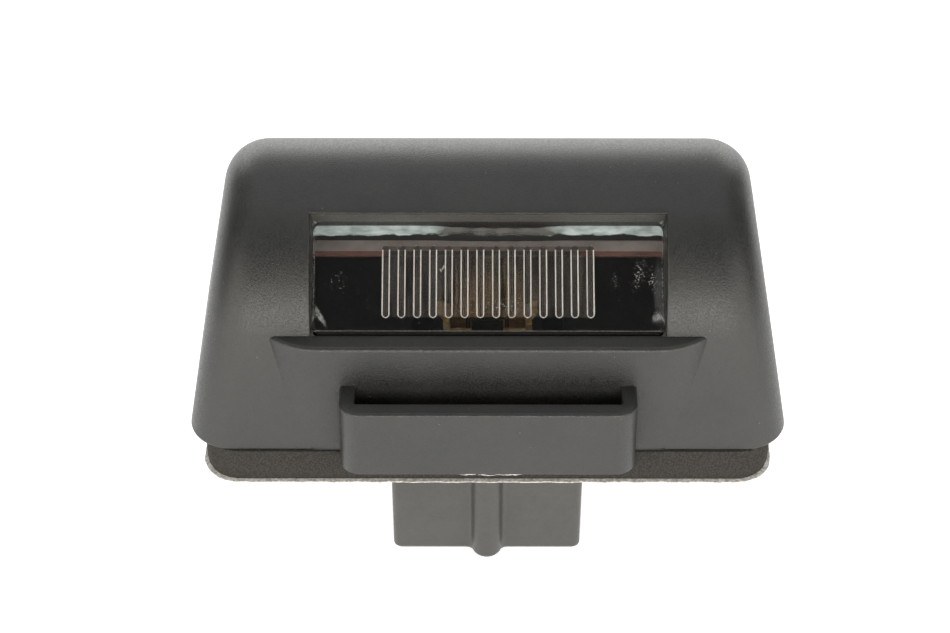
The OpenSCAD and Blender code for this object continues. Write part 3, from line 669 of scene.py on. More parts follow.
def smooth_piece(mesh, angle):
    """A mesh put into the scene under its own name, smooth but for edges sharper than the angle."""
    mesh.shade_smooth()
    mesh.set_sharp_from_angle(angle=radians(angle))
    piece = bpy.data.objects.new(mesh.name, mesh)
    bpy.context.scene.collection.objects.link(piece)
    return piece


def ride_evenly(piece):
    """Ends a piece: large faces lead its shading, and it rides on the lamp's body."""
    weights = piece.modifiers.new("even_shading", "WEIGHTED_NORMAL")
    weights.keep_sharp = True
    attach(piece, "root")


def to_part(points):
    """From the housing's foot frame in mm to the part's frame in metres."""
    return (points + np.array([0.0, FRONT_Y, SEAT_Z])) * MM


def stay(points):
    """From the part's frame in mm to metres."""
    return points * MM


def lens_to_foot(x, y, z):
    """From the lens frame to the housing's foot frame: turned by the lens tilt about the ledge's back."""
    x, y, z = np.broadcast_arrays(x, y, z)
    start = arch(FACE_LEANS[1])
    return np.stack([
        x,
        start[0] + LENS_SETBACK + y * cos(LENS_TILT) - z * sin(LENS_TILT),
        start[1] + y * sin(LENS_TILT) + z * cos(LENS_TILT)], -1)


def foot_to_lens(yz):
    """Lens y and z of a point (y, z) in the housing's foot frame."""
    start = arch(FACE_LEANS[1])
    y = yz[..., 0] - start[0] - LENS_SETBACK
    z = yz[..., 1] - start[1]
    return y * cos(LENS_TILT) + z * sin(LENS_TILT), z * cos(LENS_TILT) - y * sin(LENS_TILT)


def arch(lean):
    """Point (y, z) of the arch where it leans by so many degrees.

    Each arc adds r (cos low - cos lean, sin lean - sin low), with the lean held between its two ends.
    """
    lean = np.asarray(lean, float)
    point = np.zeros(lean.shape + (2,))
    low = FACE_LEANS[0]
    for high, r in ARCS:
        a, b = np.radians(low), np.radians(np.clip(lean, low, high))
        point = point + r * np.stack([cos(a) - np.cos(b), np.sin(b) - sin(a)], -1)
        low = high
    return point


def edge_turns(lean, turn, inset, foot=None):
    """Points on the round between the arch and the right side wall, turn 0 on the arch and 1 on the side.

    A ball rolls along the edge: its middle plus a radius turned from the arch's normal to the side's normal.
    With foot given, the point runs on straight along the lean down to that height.
    """
    a = np.radians(np.asarray(lean, float))[:, None]
    t = np.asarray(turn, float)[None, :]
    r = EDGE_R - inset
    normal = np.stack(np.broadcast_arrays(0.0, -np.cos(a), np.sin(a)), -1)
    side = np.array([cos(SIDE_DRAFT), 0.0, sin(SIDE_DRAFT)])
    whole = np.arccos(normal @ side)
    out = np.sin((1 - t) * whole)[..., None] * normal + np.sin(t * whole)[..., None] * side
    out = out / np.sin(whole)[..., None]
    centre = arch(lean)[:, None, :] - EDGE_R * normal[..., 1:]
    y, z = centre[..., 0] + 0 * t, centre[..., 1] + 0 * t
    if foot is not None:
        low = foot - r * out[..., 2]
        y = y + (low - z) * np.tan(a)
        z = low
    x = BASE_W / 2 - z * tan(SIDE_DRAFT) - EDGE_R / cos(SIDE_DRAFT)
    return np.stack([x, y, z], -1) + r * out


def eased(n):
    """n + 1 values from 0 to 1, close together at both ends."""
    return 0.5 - 0.5 * np.cos(np.pi * np.linspace(0, 1, n + 1))


class ShellGrid:
    """The housing's arch and its side walls as one grid with a rectangular hole.

    Rows run from the front foot over the crown to the rear foot. Columns run from the left foot up the side,
    round the edge, over the front and down the right side. The hole takes whole cells.
    """

    def __init__(self, inset, foot, hole_leans, hole_half):
        low, high = hole_leans
        leans = np.concatenate([
            np.linspace(FACE_LEANS[0] + 1, low, FOOT_ROWS + 1)[:-1],
            low + (high - low) * eased(HOLE_ROWS),
            np.linspace(high, FOREHEAD_LEAN, 6)[1:],
            np.linspace(FOREHEAD_LEAN, REAR_LEAN, 40)[1:]])
        turns = np.linspace(0, 1, EDGE_STEPS + 1)
        front, rear = (edge_turns([end], turns, inset, foot) for end in (FACE_LEANS[0], REAR_LEAN))
        right = np.concatenate([front, edge_turns(leans, turns, inset)])
        back = [right[-1:] + (rear - right[-1:]) * s for s in np.arange(1, REAR_ROWS + 1) / REAR_ROWS]
        right = np.concatenate([right, *back])
        self.leans = np.concatenate([[FACE_LEANS[0]], leans, np.full(REAR_ROWS, REAR_LEAN)])
        first = 1 + FOOT_ROWS
        last = first + HOLE_ROWS
        half = hole_half(self.leans)
        half[:first] = half[first]
        half[last + 1:] = half[last]
        ends = right[:, 0, 0]
        outer = np.linspace(0, 1, FLANK_COLS + 1)[:-1]
        across = np.concatenate([
            -ends[:, None] + (ends - half)[:, None] * outer,
            -half[:, None] + 2 * half[:, None] * eased(HOLE_COLS),
            half[:, None] + (ends - half)[:, None] * (1 - outer[::-1])], 1)
        flat = np.stack([across, right[:, :1, 1] + 0 * across, right[:, :1, 2] + 0 * across], -1)
        down = np.linspace(0, 1, WALL_STEPS + 1)[1:]
        top = right[:, -1]
        along = np.maximum.accumulate((top[:, 1] - top[0, 1]) / (top[-1, 1] - top[0, 1]))
        base = np.stack([
            np.full(len(top), BASE_W / 2 - foot * tan(SIDE_DRAFT) - inset / cos(SIDE_DRAFT)),
            top[0, 1] + along * (top[-1, 1] - top[0, 1]), np.full(len(top), foot)], -1)
        side = top[:, None] + (base - top)[:, None] * down[None, :, None]
        flank = np.concatenate([right[:, 1:], side], 1)
        self.points = np.concatenate([flank[:, ::-1] * np.array([-1.0, 1.0, 1.0]), flat, flank], 1)
        start = flank.shape[1] + FLANK_COLS
        self.hole_rows = (first, last)
        self.hole_cols = (start, start + HOLE_COLS)

    def keep(self):
        """All cells but those of the hole."""
        mask = np.ones((self.points.shape[0] - 1, self.points.shape[1] - 1), bool)
        mask[self.hole_rows[0]:self.hole_rows[1], self.hole_cols[0]:self.hole_cols[1]] = False
        return mask

    def hole_loop(self):
        """Points round the hole: along its foot to the right, up, along its top to the left, and down."""
        (r0, r1), (c0, c1) = self.hole_rows, self.hole_cols
        p = self.points
        return np.concatenate([p[r0, c0:c1], p[r0:r1, c1], p[r1, c1:c0:-1], p[r1:r0:-1, c0]])

    def foot_loop(self):
        """Points round the foot: along the front to the right, back, along the rear, and forward."""
        p = self.points
        n = p.shape[1] - 1
        left, right = WALL_STEPS, n - WALL_STEPS
        return np.concatenate([
            p[0, left:right], p[:-1, n], p[-1, right:left:-1], p[:0:-1, 0]])


def inset_loop(loop, distance):
    """A flat loop moved inwards: each point along the mean of its two edges' normals."""
    step = np.roll(loop, -1, 0) - loop
    length = np.linalg.norm(step[:, :2], axis=1)
    good = length > 1e-6
    normal = np.zeros_like(step)
    normal[good, 0] = -step[good, 1] / length[good]
    normal[good, 1] = step[good, 0] / length[good]
    # Points that coincide take over the normal of the point before them
    for _ in range(12):
        normal = np.where(np.abs(normal).sum(1, keepdims=True) < 1e-9, np.roll(normal, 1, 0), normal)
    mean = normal + np.roll(normal, 1, 0)
    mean /= np.maximum((mean ** 2).sum(1, keepdims=True) / 2, 1e-9)
    return loop + distance * mean


def rounded(corner, along, after, steps=4):
    """Loops that round a sharp corner: corner + (1 - s)^2 along + s^2 after, s from 0 to 1."""
    s = np.linspace(0, 1, steps + 1)[:, None, None]
    return corner + (1 - s) ** 2 * along + s ** 2 * after


def round_corners(x, y, half_w, half_h, r):
    """Moves points of a rectangle's corner squares so that its outline has round corners.

    In a corner square, (u, v) from its inner corner goes to (u sqrt(1 - v^2 / 2), v sqrt(1 - u^2 / 2)).
    """
    u = np.clip((np.abs(x) - half_w + r) / r, 0, 1)
    v = np.clip((np.abs(y) - half_h + r) / r, 0, 1)
    inside = (u > 0) & (v > 0)
    round_x = np.sign(x) * (half_w - r + r * u * np.sqrt(1 - v ** 2 / 2))
    round_y = np.sign(y) * (half_h - r + r * v * np.sqrt(1 - u ** 2 / 2))
    return np.where(inside, round_x, x), np.where(inside, round_y, y)


def window_leans():
    """Leans of the arch at the window's sill and at its ceiling."""
    leans = np.linspace(FACE_LEANS[1], BROW_LEAN, ARC_SAMPLES)
    points = arch(leans)
    y, z = foot_to_lens(points)
    sill = np.interp(LEDGE_H + SILL_RISE, points[:, 1], leans)
    ceiling = np.interp(0.0, y - LENS_L - LENS_GAP - z * tan(WINDOW_TOP_DRAFT), leans)
    return sill, ceiling


def window_half(leans):
    """Half width of the window where it cuts the arch: it widens with the height above the lens face."""
    z = foot_to_lens(arch(leans))[1]
    return LENS_W / 2 + LENS_GAP + z * tan(WINDOW_SIDE_DRAFT)


def seat_loops(half_w, low, high, corner_r, depths, like):
    """Rounded rectangles in the lens frame at the given depths, with points that match the loop `like`."""
    u, v = like
    x = u * half_w
    y = (v * 2 - 1) * (high - low) / 2
    if corner_r:
        x, y = round_corners(x, y, half_w, (high - low) / 2, corner_r)
    y = y + (high + low) / 2
    return np.stack([lens_to_foot(x, y, d) for d in depths])


def housing_surfaces():
    """The housing's shell: outer grid, inner grid, a chain of loops through the window, and the foot's rim.

    The chain runs from the outer grid's hole over the window's round, its walls, the lens's seat, the lip and
    the shelf to the inner grid's hole.
    """
    cfg = settings("housing")
    r_foot, r_win = cfg.foot_round / MM, cfg.window_round / MM
    sill, ceiling = window_leans()
    brow_r = ARCS[1][1]
    top = ceiling + degrees(r_win / brow_r)
    outer = ShellGrid(0.0, r_foot, (sill, top), lambda a: window_half(np.minimum(a, ceiling)) + r_win)
    parts = [surface(outer.points, keep=outer.keep())]

    # Where each point of the hole's loop lies on it: u across from -1 to 1 and v up from 0 to 1
    loop = outer.hole_loop()
    (r0, r1), (c0, c1) = outer.hole_rows, outer.hole_cols
    n_across, n_up = c1 - c0, r1 - r0
    u = eased(n_across) * 2 - 1
    v = (outer.leans[r0:r1 + 1] - outer.leans[r0]) / (outer.leans[r1] - outer.leans[r0])
    loop_u = np.concatenate([u[:-1], np.ones(n_up), u[:0:-1], -np.ones(n_up)])
    loop_v = np.concatenate([np.zeros(n_across), v[:-1], np.ones(n_across), v[:0:-1]])
    on_side = np.abs(loop_u) > 1 - 1e-9
    on_top = loop_v > 1 - 1e-9
    # The round from the outer surface into the window, about the sharp corner that it replaces
    lean_here = np.minimum(np.concatenate([
        np.full(n_across, sill), outer.leans[r0:r1], np.full(n_across, top), outer.leans[r1:r0:-1]]), ceiling)
    half = window_half(lean_here)
    corner_x = np.where(on_side, np.sign(loop_u) * half, loop[:, 0] * half / (half + r_win))
    sharp = np.column_stack([corner_x, arch(lean_here)])
    inward = lens_to_foot(
        np.where(on_side, -np.sign(loop_u) * tan(WINDOW_SIDE_DRAFT), 0.0),
        np.where(on_top, -tan(WINDOW_TOP_DRAFT), 0.0), -1.0) - lens_to_foot(0.0, 0.0, 0.0)
    inward *= np.where(on_side | on_top, r_win, 0.0)[:, None]
    fillet = rounded(sharp, loop - sharp, inward)

    # Heights and widths of the seat, the lip, the shelf and the frame behind them
    like = loop_u, loop_v
    half, top_y, back_half = LENS_W / 2, LENS_L, LENS_W / 2 - LIP_W
    sill_z = (SILL_RISE + LENS_GAP * sin(LENS_TILT)) / cos(LENS_TILT)
    deep = -LENS_T - LENS_GAP
    reach = FRAME_T + LENS_GAP
    shelf_y = LENS_L - SHELF_W
    back = seat_loops(half + reach, -reach, LENS_L + reach, 0, (deep - LIP_T,), like)

    # The inner grid's hole is where that frame meets the wall's inside
    leans = np.linspace(FACE_LEANS[0], FOREHEAD_LEAN, ARC_SAMPLES)
    inner_yz = arch(leans) - WALL * np.stack([-np.cos(np.radians(leans)), np.sin(np.radians(leans))], -1)
    inner_lens_y = foot_to_lens(inner_yz)[0]
    inner_low = np.interp(-reach, inner_lens_y, leans)
    inner_high = np.interp(LENS_L + reach, inner_lens_y, leans)
    inner = ShellGrid(WALL, REBATE_T, (inner_low, inner_high), lambda a: np.full(len(a), half + reach))
    parts.append(surface(inner.points, keep=inner.keep(), flip=True))

    chain = np.concatenate([
        fillet,
        seat_loops(half + LENS_GAP + sill_z * tan(WINDOW_SIDE_DRAFT), -LENS_GAP,
                   top_y + LENS_GAP + sill_z * tan(WINDOW_TOP_DRAFT), 0, (sill_z,), like),
        seat_loops(half + LENS_GAP, -LENS_GAP, top_y + LENS_GAP, LENS_CORNER_R, (0.0, deep), like),
        seat_loops(back_half, LIP_W, top_y - LIP_W, LENS_CORNER_R, (deep, deep - SHELF_DROP), like),
        seat_loops(back_half, LIP_W, shelf_y + TINT_H, SHELF_CORNER_R, (deep - SHELF_DROP,), like),
        seat_loops(back_half, LIP_W, shelf_y, SHELF_CORNER_R, (deep - SHELF_DROP, deep - LIP_T), like),
        back,
        inner.hole_loop()[None]])
    paint = np.zeros((len(chain) - 1, chain.shape[1]), int)
    # The shelf is drawn pale, and reddish at its edge beside the flutes: painted light and a painted
    # reflection
    shelf_row = len(fillet) + 4
    beside = np.abs(chain[0, :, 0]) > TINT_X
    paint[shelf_row] = SHELF_PAINTED_LIGHT
    paint[shelf_row + 1:shelf_row + 3] = np.where(beside, SHELF_PAINTED_REFLECTION, PLASTIC)
    # The ceiling's rows are drawn lighter: painted light
    paint[len(fillet) - 1:len(fillet) + 1] = np.where(on_top, CEILING_PAINTED_LIGHT, PLASTIC)
    parts.append(surface(chain, wrap=True, paint=paint.ravel()))

    # The foot's rim: its round, its flat, and the rebate that takes the base
    foot_loop = outer.foot_loop()
    down = inset_loop(foot_loop, 0.0)
    down[:, 2] = 0
    flat = inset_loop(down, r_foot)
    mid = 0.25 * foot_loop + 0.5 * down + 0.25 * flat
    rebate_low = inset_loop(down, RIM_W)
    rebate_high = rebate_low + np.array([0, 0, REBATE_T])
    under = np.stack([foot_loop, mid, flat, rebate_low, rebate_high, inner.foot_loop()])
    parts.append(surface(under, wrap=True, flip=True))
    return parts


def chin_outline(n=14):
    """Plan of the chin from its left end to its right end, with outward normals: arc, straight front, arc."""
    turn = np.linspace(-CHIN_END_TURN, 0, n)
    arc = np.stack([-CHIN_HALF_W + CHIN_END_R * np.sin(turn), CHIN_END_R * (1 - np.cos(turn))], -1)
    normal = np.stack([np.sin(turn), -np.cos(turn)], -1)
    front = np.linspace(-CHIN_HALF_W, CHIN_HALF_W, 30)[1:-1]
    line = np.stack([front, 0 * front], -1)
    flip = np.array([-1, 1])
    plan = np.concatenate([arc, line, (arc * flip)[::-1]])
    normals = np.concatenate([normal, np.tile([0.0, -1.0], (len(line), 1)), (normal * flip)[::-1]])
    return plan, normals


def chin_surface():
    """The chin's profile carried along its plan: up the leaning face, round the ledge's edge and back."""
    r = settings("housing").ledge_round / MM
    plan, normal = chin_outline()
    s = np.linspace(0, np.pi / 2, 7)
    heights = np.concatenate([[0.0, 4.0, 8.0, 12.0], LEDGE_H - r + r * np.sin(s)])
    insets = np.concatenate([np.zeros(4), r * (1 - np.cos(s))])
    rows = np.stack([
        np.column_stack([
            plan[:, 0] - d * normal[:, 0],
            plan[:, 1] - d * normal[:, 1] + h * tan(CHIN_LEAN),
            np.full(len(plan), h)]) for h, d in zip(heights, insets)])
    # The ledge runs back to the window's sill, and the foot into the housing's wall
    back = arch(FACE_LEANS[1])[0] + LENS_SETBACK / 2
    top, foot = rows[-1].copy(), rows[0].copy()
    top[:, 1] = np.maximum(back, top[:, 1] + 0.02)
    foot[:, 1] = WALL / 2 + plan[:, 1]
    loops = np.concatenate([foot[None], rows, top[None]]).transpose(1, 0, 2)
    return [surface(loops, wrap=True, flip=True), cap(loops[0]), cap(loops[-1], flip=True)]


def pocket_outline(half_w, front, back, r, n=9):
    """Plan of a U from the left arm's root round the front to the right one's, with corners of radius r."""
    turn = np.linspace(0, np.pi / 2, n)
    corner = np.stack([-half_w + r - r * np.cos(turn), front + r - r * np.sin(turn)], -1)
    arm = np.stack([np.full(5, -half_w), np.linspace(back, front + r, 6)[:-1]], -1)
    line = np.linspace(-half_w + r, half_w - r, 24)[1:-1]
    flip = np.array([-1, 1])
    middle = np.stack([line, np.full(len(line), front)], -1)
    return np.concatenate([arm, corner, middle, (corner * flip)[::-1], (arm * flip)[::-1]])


def pocket_surface():
    """The pocket's wall: outer and inner plan at each height, with both edges of its rim rounded."""
    r = settings("housing").pocket_round / MM
    back = POCKET_ROOT
    outer_w, inner_w = POCKET_W / 2, POCKET_W / 2 - POCKET_SIDE_T
    front, inner_front = -POCKET_REACH, -POCKET_REACH + POCKET_FRONT_T
    s = np.linspace(0, np.pi / 2, 7)
    edge_out, edge_up = r * (1 - np.cos(s)), POCKET_H - r + r * np.sin(s)
    small = POCKET_INNER_ROUND * r
    inner_out, inner_up = small * (1 - np.sin(s)), POCKET_H - small + small * np.cos(s)
    rows = [
        (pocket_outline(outer_w - d, front + d, back, POCKET_R - d), h)
        for d, h in (*POCKET_FOOT, *zip(edge_out, edge_up))]
    rows += [
        (pocket_outline(inner_w + d, inner_front - d, back, POCKET_INNER_R + d), h)
        for d, h in (*zip(inner_out, inner_up), (0.0, 0.0))]
    loops = np.stack([np.column_stack([plan, np.full(len(plan), h)]) for plan, h in rows]).transpose(1, 0, 2)
    wall = surface(loops, wrap=True, flip=True)
    ends = [cap(loops[0], flip=False), cap(loops[-1], flip=True)]
    x = inner_w + POCKET_SIDE_T / 2
    y0, y1 = inner_front - POCKET_FRONT_T / 2, back
    return [wall, *ends, *slab((-x, y0, 0.0), (x, y1, POCKET_FLOOR_T))]


def slab(low, high):
    """Six faces between two corners: corner number 4 z + 2 y + x, with 0 for low and 1 for high."""
    x, y, z = zip(low, high)
    corners = np.array([(i, j, k) for k in z for j in y for i in x])
    faces = np.array([[0, 2, 3, 1], [4, 5, 7, 6], [0, 1, 5, 4], [2, 6, 7, 3], [0, 4, 6, 2], [1, 3, 7, 5]])
    return [(corners, faces, np.zeros(6, int))]


def flute_height(x, y):
    """Height of the flutes over the lens's back, place on their rim, and distance from their middle line.

    A flute is a pill: the distance to its middle line's segment, less its radius, is eased over the bead.
    """
    bead = settings("lens").bead_w / MM
    place = np.clip(np.round(x / FLUTE_PITCH + (FLUTE_COUNT - 1) / 2), 0, FLUTE_COUNT - 1)
    dx = x - (place - (FLUTE_COUNT - 1) / 2) * FLUTE_PITCH
    r = FLUTE_W / 2
    dy = y - np.clip(y, FLUTE_FOOT + r, FLUTE_FOOT + FLUTE_L - r)
    out = (np.hypot(dx, dy) - r) / bead + 0.5
    return FLUTE_T * eased_step(1 - out), out, np.abs(dx)


def lens_axes():
    """Grid lines of the lens: close at its edges, at each flute's flanks and at the flutes' round ends."""
    bead = settings("lens").bead_w / MM
    turn = 1 - np.cos(np.linspace(0, np.pi / 2, 11))
    r = FLUTE_W / 2
    flank = r + bead * np.array([-0.8, -0.5, -0.25, 0.0, 0.25, 0.5, 0.8])
    centres = (np.arange(FLUTE_COUNT) - (FLUTE_COUNT - 1) / 2) * FLUTE_PITCH
    lines = np.concatenate([[0.0], np.array(MARK_X), -np.array(MARK_X), flank, -flank])
    x = np.concatenate([
        (centres[:, None] + lines).ravel(), LENS_EDGE_R * turn - LENS_W / 2, LENS_W / 2 - LENS_EDGE_R * turn,
        np.arange(-LENS_W / 2 + 1.3, LENS_W / 2 - 1.2, LENS_CELLS[0])])
    end = np.arange(-0.15, r + 0.1, 0.05)
    y = np.concatenate([
        LENS_EDGE_R * turn, LENS_L - LENS_TOP_R * turn, LENS_L - np.array([BAND_END, BAND_START]),
        [FOOT_SHADE_TOP, FOOT_HIGHLIGHT_TOP], FLUTE_FOOT + end, FLUTE_FOOT + FLUTE_L - end,
        np.arange(1.3, LENS_L - 1.7, LENS_CELLS[1])])
    return [thinned(np.sort(axis), LENS_LEAST) for axis in (x, y)]


def thinned(values, least):
    """Sorted values without those closer than least to the one before."""
    kept = [values[0]]
    for value in values[1:-1]:
        if value - kept[-1] >= least and values[-1] - value >= least:
            kept.append(value)
    return np.array(kept + [values[-1]])


def dropped(distance, r):
    """How far a round of radius r has dropped at a distance inside its edge."""
    near = np.clip(r - distance, 0, r)
    return r - np.sqrt(r ** 2 - near ** 2)


def eased_step(value):
    """0 below 0, 1 above 1, and between them 3 s^2 - 2 s^3."""
    s = np.clip(value, 0, 1)
    return s * s * (3 - 2 * s)


def lens_surfaces():
    """The lens as two height fields over one grid, front and back, joined by its side wall.

    The front drops by r - sqrt(r^2 - (r - d)^2) within r of the outline, where d is the distance to it. The
    top edge has a larger r, and dips where its gate was trimmed off.
    """
    x, y = lens_axes()
    x, y = np.meshgrid(x, y)
    px, py = round_corners(x, y - LENS_L / 2, LENS_W / 2, LENS_L / 2, LENS_CORNER_R)
    qx = np.maximum(np.abs(px) - LENS_W / 2 + LENS_CORNER_R, 0)
    qy = np.maximum(np.abs(py) - LENS_L / 2 + LENS_CORNER_R, 0)
    straight = np.minimum(LENS_W / 2 - np.abs(px), LENS_L / 2 - np.abs(py))
    d = np.where((qx > 0) & (qy > 0), LENS_CORNER_R - np.hypot(qx, qy), straight)
    py = py + LENS_L / 2
    front = -np.maximum(dropped(d, LENS_EDGE_R), dropped(LENS_L - py, LENS_TOP_R))
    height, out, off = flute_height(px, py)
    back = -LENS_T - height
    # The dip eases in from the gate's ends, ripples a little along it, and fades out down the lens
    near_gate = eased_step(1.6 * (1 - np.abs(px - GATE_X) / GATE_HALF_W))
    ripple = 0.8 + 0.2 * np.sin(2.3 * px)
    dip = GATE_DIP * near_gate * ripple * eased_step((py - LENS_L + GATE_FADE) / GATE_FADE)
    front_points = lens_to_foot(px, py - dip, front)
    back_points = lens_to_foot(px, py - dip, back)
    # Each cell's finish goes by its middle
    mid_x, mid_y, mid_out, mid_off = (
        (v[:-1, :-1] + v[1:, :-1] + v[:-1, 1:] + v[1:, 1:]) / 4 for v in (px, py, out, off))
    on_flank = (mid_out > 0) & (mid_out < 1)
    cap_y = FLUTE_FOOT + FLUTE_L - FLUTE_W / 2
    fluted = (np.abs(mid_x) < (FLUTE_PITCH * (FLUTE_COUNT - 1) + FLUTE_W) / 2) & (
        np.abs(mid_y - FLUTE_FOOT - FLUTE_L / 2) < FLUTE_L / 2)
    marked = fluted & (mid_off > MARK_X[0]) & (mid_off < MARK_X[1])
    below_top = LENS_L - mid_y
    # Cells of the painted highlight band and the painted dark strip under it
    in_top_band = (below_top > BAND_START) & (below_top < BAND_END) & (np.abs(mid_x) < LENS_W / 2 - LENS_GAP)
    paint = np.select(
        [on_flank & (mid_y < cap_y), fluted & (mid_out < 1) & (mid_y > cap_y), marked, fluted, in_top_band],
        [FLANK, SHADED_END, TOOL_MARK, HAZED, TOP_BAND], CLEAR)
    # Painted shade along the foot, and a painted highlight just over it
    foot = np.select([mid_y < FOOT_SHADE_TOP, mid_y < FOOT_HIGHLIGHT_TOP], [FOOT_SHADE, FOOT_HIGHLIGHT], CLEAR)
    parts = [surface(front_points, paint=foot.ravel()), surface(back_points, flip=True, paint=paint.ravel())]
    ring = np.concatenate([
        np.stack([front_points[0, :-1], back_points[0, :-1]]),
        np.stack([front_points[:-1, -1], back_points[:-1, -1]]),
        np.stack([front_points[-1, :0:-1], back_points[-1, :0:-1]]),
        np.stack([front_points[:0:-1, 0], back_points[:0:-1, 0]])], 1)
    parts.append(surface(ring, wrap=True, flip=True))
    return parts


def refill_foot(work):
    """Closes a solid's lowest face anew, because its triangles lie over each other at hollow corners."""
    low = min(vert.co.z for vert in work.verts)
    foot = [face for face in work.faces if max(vert.co.z for vert in face.verts) < low + 1e-6]
    bmesh.ops.delete(work, geom=foot, context="FACES_ONLY")
    bmesh.ops.delete(work, geom=[edge for edge in work.edges if edge.is_wire], context="EDGES")
    rim = [edge for edge in work.edges if edge.is_boundary]
    bmesh.ops.triangle_fill(work, use_beauty=True, use_dissolve=False, edges=rim, normal=(0, 0, -1))


def smooth_copy(name, node, material, bevel=0.0, angle=35.0, new_foot=False):
    """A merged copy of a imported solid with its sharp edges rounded, in its place."""
    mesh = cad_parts[node].data.copy()
    mesh.name = name
    work = bmesh.new()
    work.from_mesh(mesh)
    bmesh.ops.remove_doubles(work, verts=work.verts, dist=1e-6)
    if new_foot:
        refill_foot(work)
    bmesh.ops.dissolve_limit(work, angle_limit=radians(1), verts=work.verts, edges=work.edges)
    work.to_mesh(mesh)
    work.free()
    mesh.materials.clear()
    mesh.materials.append(material)
    piece = smooth_piece(mesh, angle)
    if bevel:
        edge = piece.modifiers.new("round_edges", "BEVEL")
        edge.width = bevel * MM
        edge.segments = 3
        edge.limit_method = "ANGLE"
        edge.angle_limit = radians(angle)
        edge.harden_normals = False
    ride_evenly(piece)
    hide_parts(node)


def paint_node(node, material):
    """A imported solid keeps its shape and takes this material."""
    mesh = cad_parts[node].data
    mesh.materials.clear()
    mesh.materials.append(material)


def round_rect_loop(half_w, half_h, r):
    """Outline of a rectangle with round corners, counter-clockwise, with its outward normals.

    Four straights and four quarter circles, evenly stepped.
    """
    points, normals = [], []
    for k, (sx, sy) in enumerate([(1, -1), (1, 1), (-1, 1), (-1, -1)]):
        start = np.radians(-90 + 90 * k)
        turn = start + np.linspace(0, np.pi / 2, CORNER_STEPS)
        way = np.stack([np.cos(turn), np.sin(turn)], -1)
        arc = np.array([sx * (half_w - r), sy * (half_h - r)]) + r * way
        points.append(arc)
        normals.append(way)
        length = 2 * (half_h - r) if k % 2 == 0 else 2 * (half_w - r)
        count = max(int(length / RING_STEP), 2)
        s = np.linspace(0, 1, count + 1)[1:-1, None]
        ahead = np.array([-way[-1][1], way[-1][0]])
        points.append(arc[-1] + s * length * ahead)
        normals.append(np.tile(way[-1], (count - 1, 1)))
    return np.concatenate(points), np.concatenate(normals)


def gasket_surface():
    """The foam ring: a pressed cross-section carried round, its cut walls bulged and pitted.

    The outer wall stands out by a parabola over its height; seeded noise sinks open pores into it.
    """
    cfg = settings("soft")
    bulge, pores = cfg.bulge / MM, cfg.pores / MM
    low, high = np.array(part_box("gasket")) / MM
    height = high[2] - low[2]
    outer, out_n = round_rect_loop(high[0], high[1], GASKET_R[0])
    inner = round_rect_loop(high[0] - GASKET_BAND, high[1] - GASKET_BAND, GASKET_R[1])[0]
    inner = resampled(inner, len(outer))
    rng = np.random.default_rng(7)
    z = np.linspace(0, 1, 18)
    sag = bulge * (2 * z - 1) ** 2 + FOAM_EDGE_R * np.clip(1 - 16 * z * (1 - z), 0, 1)
    pit = pores * np.abs(rng.normal(size=(len(z), len(outer))))
    pit[[0, -1]] *= FOAM_EDGE_PORES
    wall = outer[None] - (np.clip(sag[:, None] + pit, 0, FOAM_DEEPEST))[..., None] * out_n[None]
    heights = low[2] + z * height
    wall = np.concatenate([wall, np.broadcast_to(heights[:, None, None], wall.shape[:2] + (1,))], -1)
    inside = np.stack([
        np.column_stack([inner, np.full(len(inner), h)]) for h in (high[2], low[2])])
    loops = np.concatenate([wall, inside, wall[:1]])
    return [surface(loops, wrap=True)]


def resampled(loop, count):
    """The same closed loop with count points, evenly spread along it."""
    closed = np.concatenate([loop, loop[:1]])
    length = np.concatenate([[0], np.cumsum(np.linalg.norm(np.diff(closed, axis=0), axis=1))])
    at = np.linspace(0, length[-1], count, endpoint=False)
    return np.column_stack([np.interp(at, length, closed[:, k]) for k in range(2)])


def paper_surface():
    """The release paper's ring: flat and thin, its outer edge wandering by a sum of three waves."""
    fray = settings("soft").paper_fray / MM
    low, high = np.array(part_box("release_liner")) / MM
    outer, out_n = round_rect_loop(high[0], high[1], PAPER_R[0])
    inner = round_rect_loop(high[0] - PAPER_BAND, high[1] - PAPER_BAND, PAPER_R[1])[0]
    inner = resampled(inner, len(outer))
    s = np.arange(len(outer)) * RING_STEP
    wander = 0.5 + 0.25 * np.sin(s * 1.3) + 0.15 * np.sin(s * 3.1 + 1) + 0.1 * np.sin(s * 7.7 + 2)
    outer = outer - (fray * wander)[:, None] * out_n
    corners = (outer, low[2]), (outer, high[2]), (inner, high[2]), (inner, low[2]), (outer, low[2])
    loops = np.stack([np.column_stack([ring, np.full(len(ring), h)]) for ring, h in corners])
    return [surface(loops, wrap=True)]


def torn_fibres():
    """Fibres torn from the release paper that cling to the foot of the pocket: thin tubes along bent lines.

    A line leans by its angle and bends by a quarter sine; the tube's oval section thins out at both ends.
    """
    t = np.linspace(0, 1, 9)
    turn = np.linspace(0, 2 * np.pi, 8, endpoint=False)
    surfaces = []
    for x, height, lean, length, width, bend in TORN_FIBRES:
        across = x + length * t * sin(lean) + bend * np.sin(np.pi * t / 2)
        up = SEAT_Z + height + length * t * cos(lean) + 0.03 * np.sin(9 * t + 7 * x)
        taper = np.sin(np.pi * np.clip(0.1 + 0.85 * t, 0, 1))[:, None]
        centre = np.stack([across, 0 * t + FRONT_Y - POCKET_REACH + 0.07, up], -1)
        ring = np.stack([0.3 * np.cos(turn), 0.5 * np.sin(turn), np.cos(turn)], -1)
        tube = centre[:, None] + width / 2 * taper[..., None] * ring[None]
        surfaces += [surface(tube, wrap=True), cap(tube[0], flip=True), cap(tube[-1])]
    return surfaces


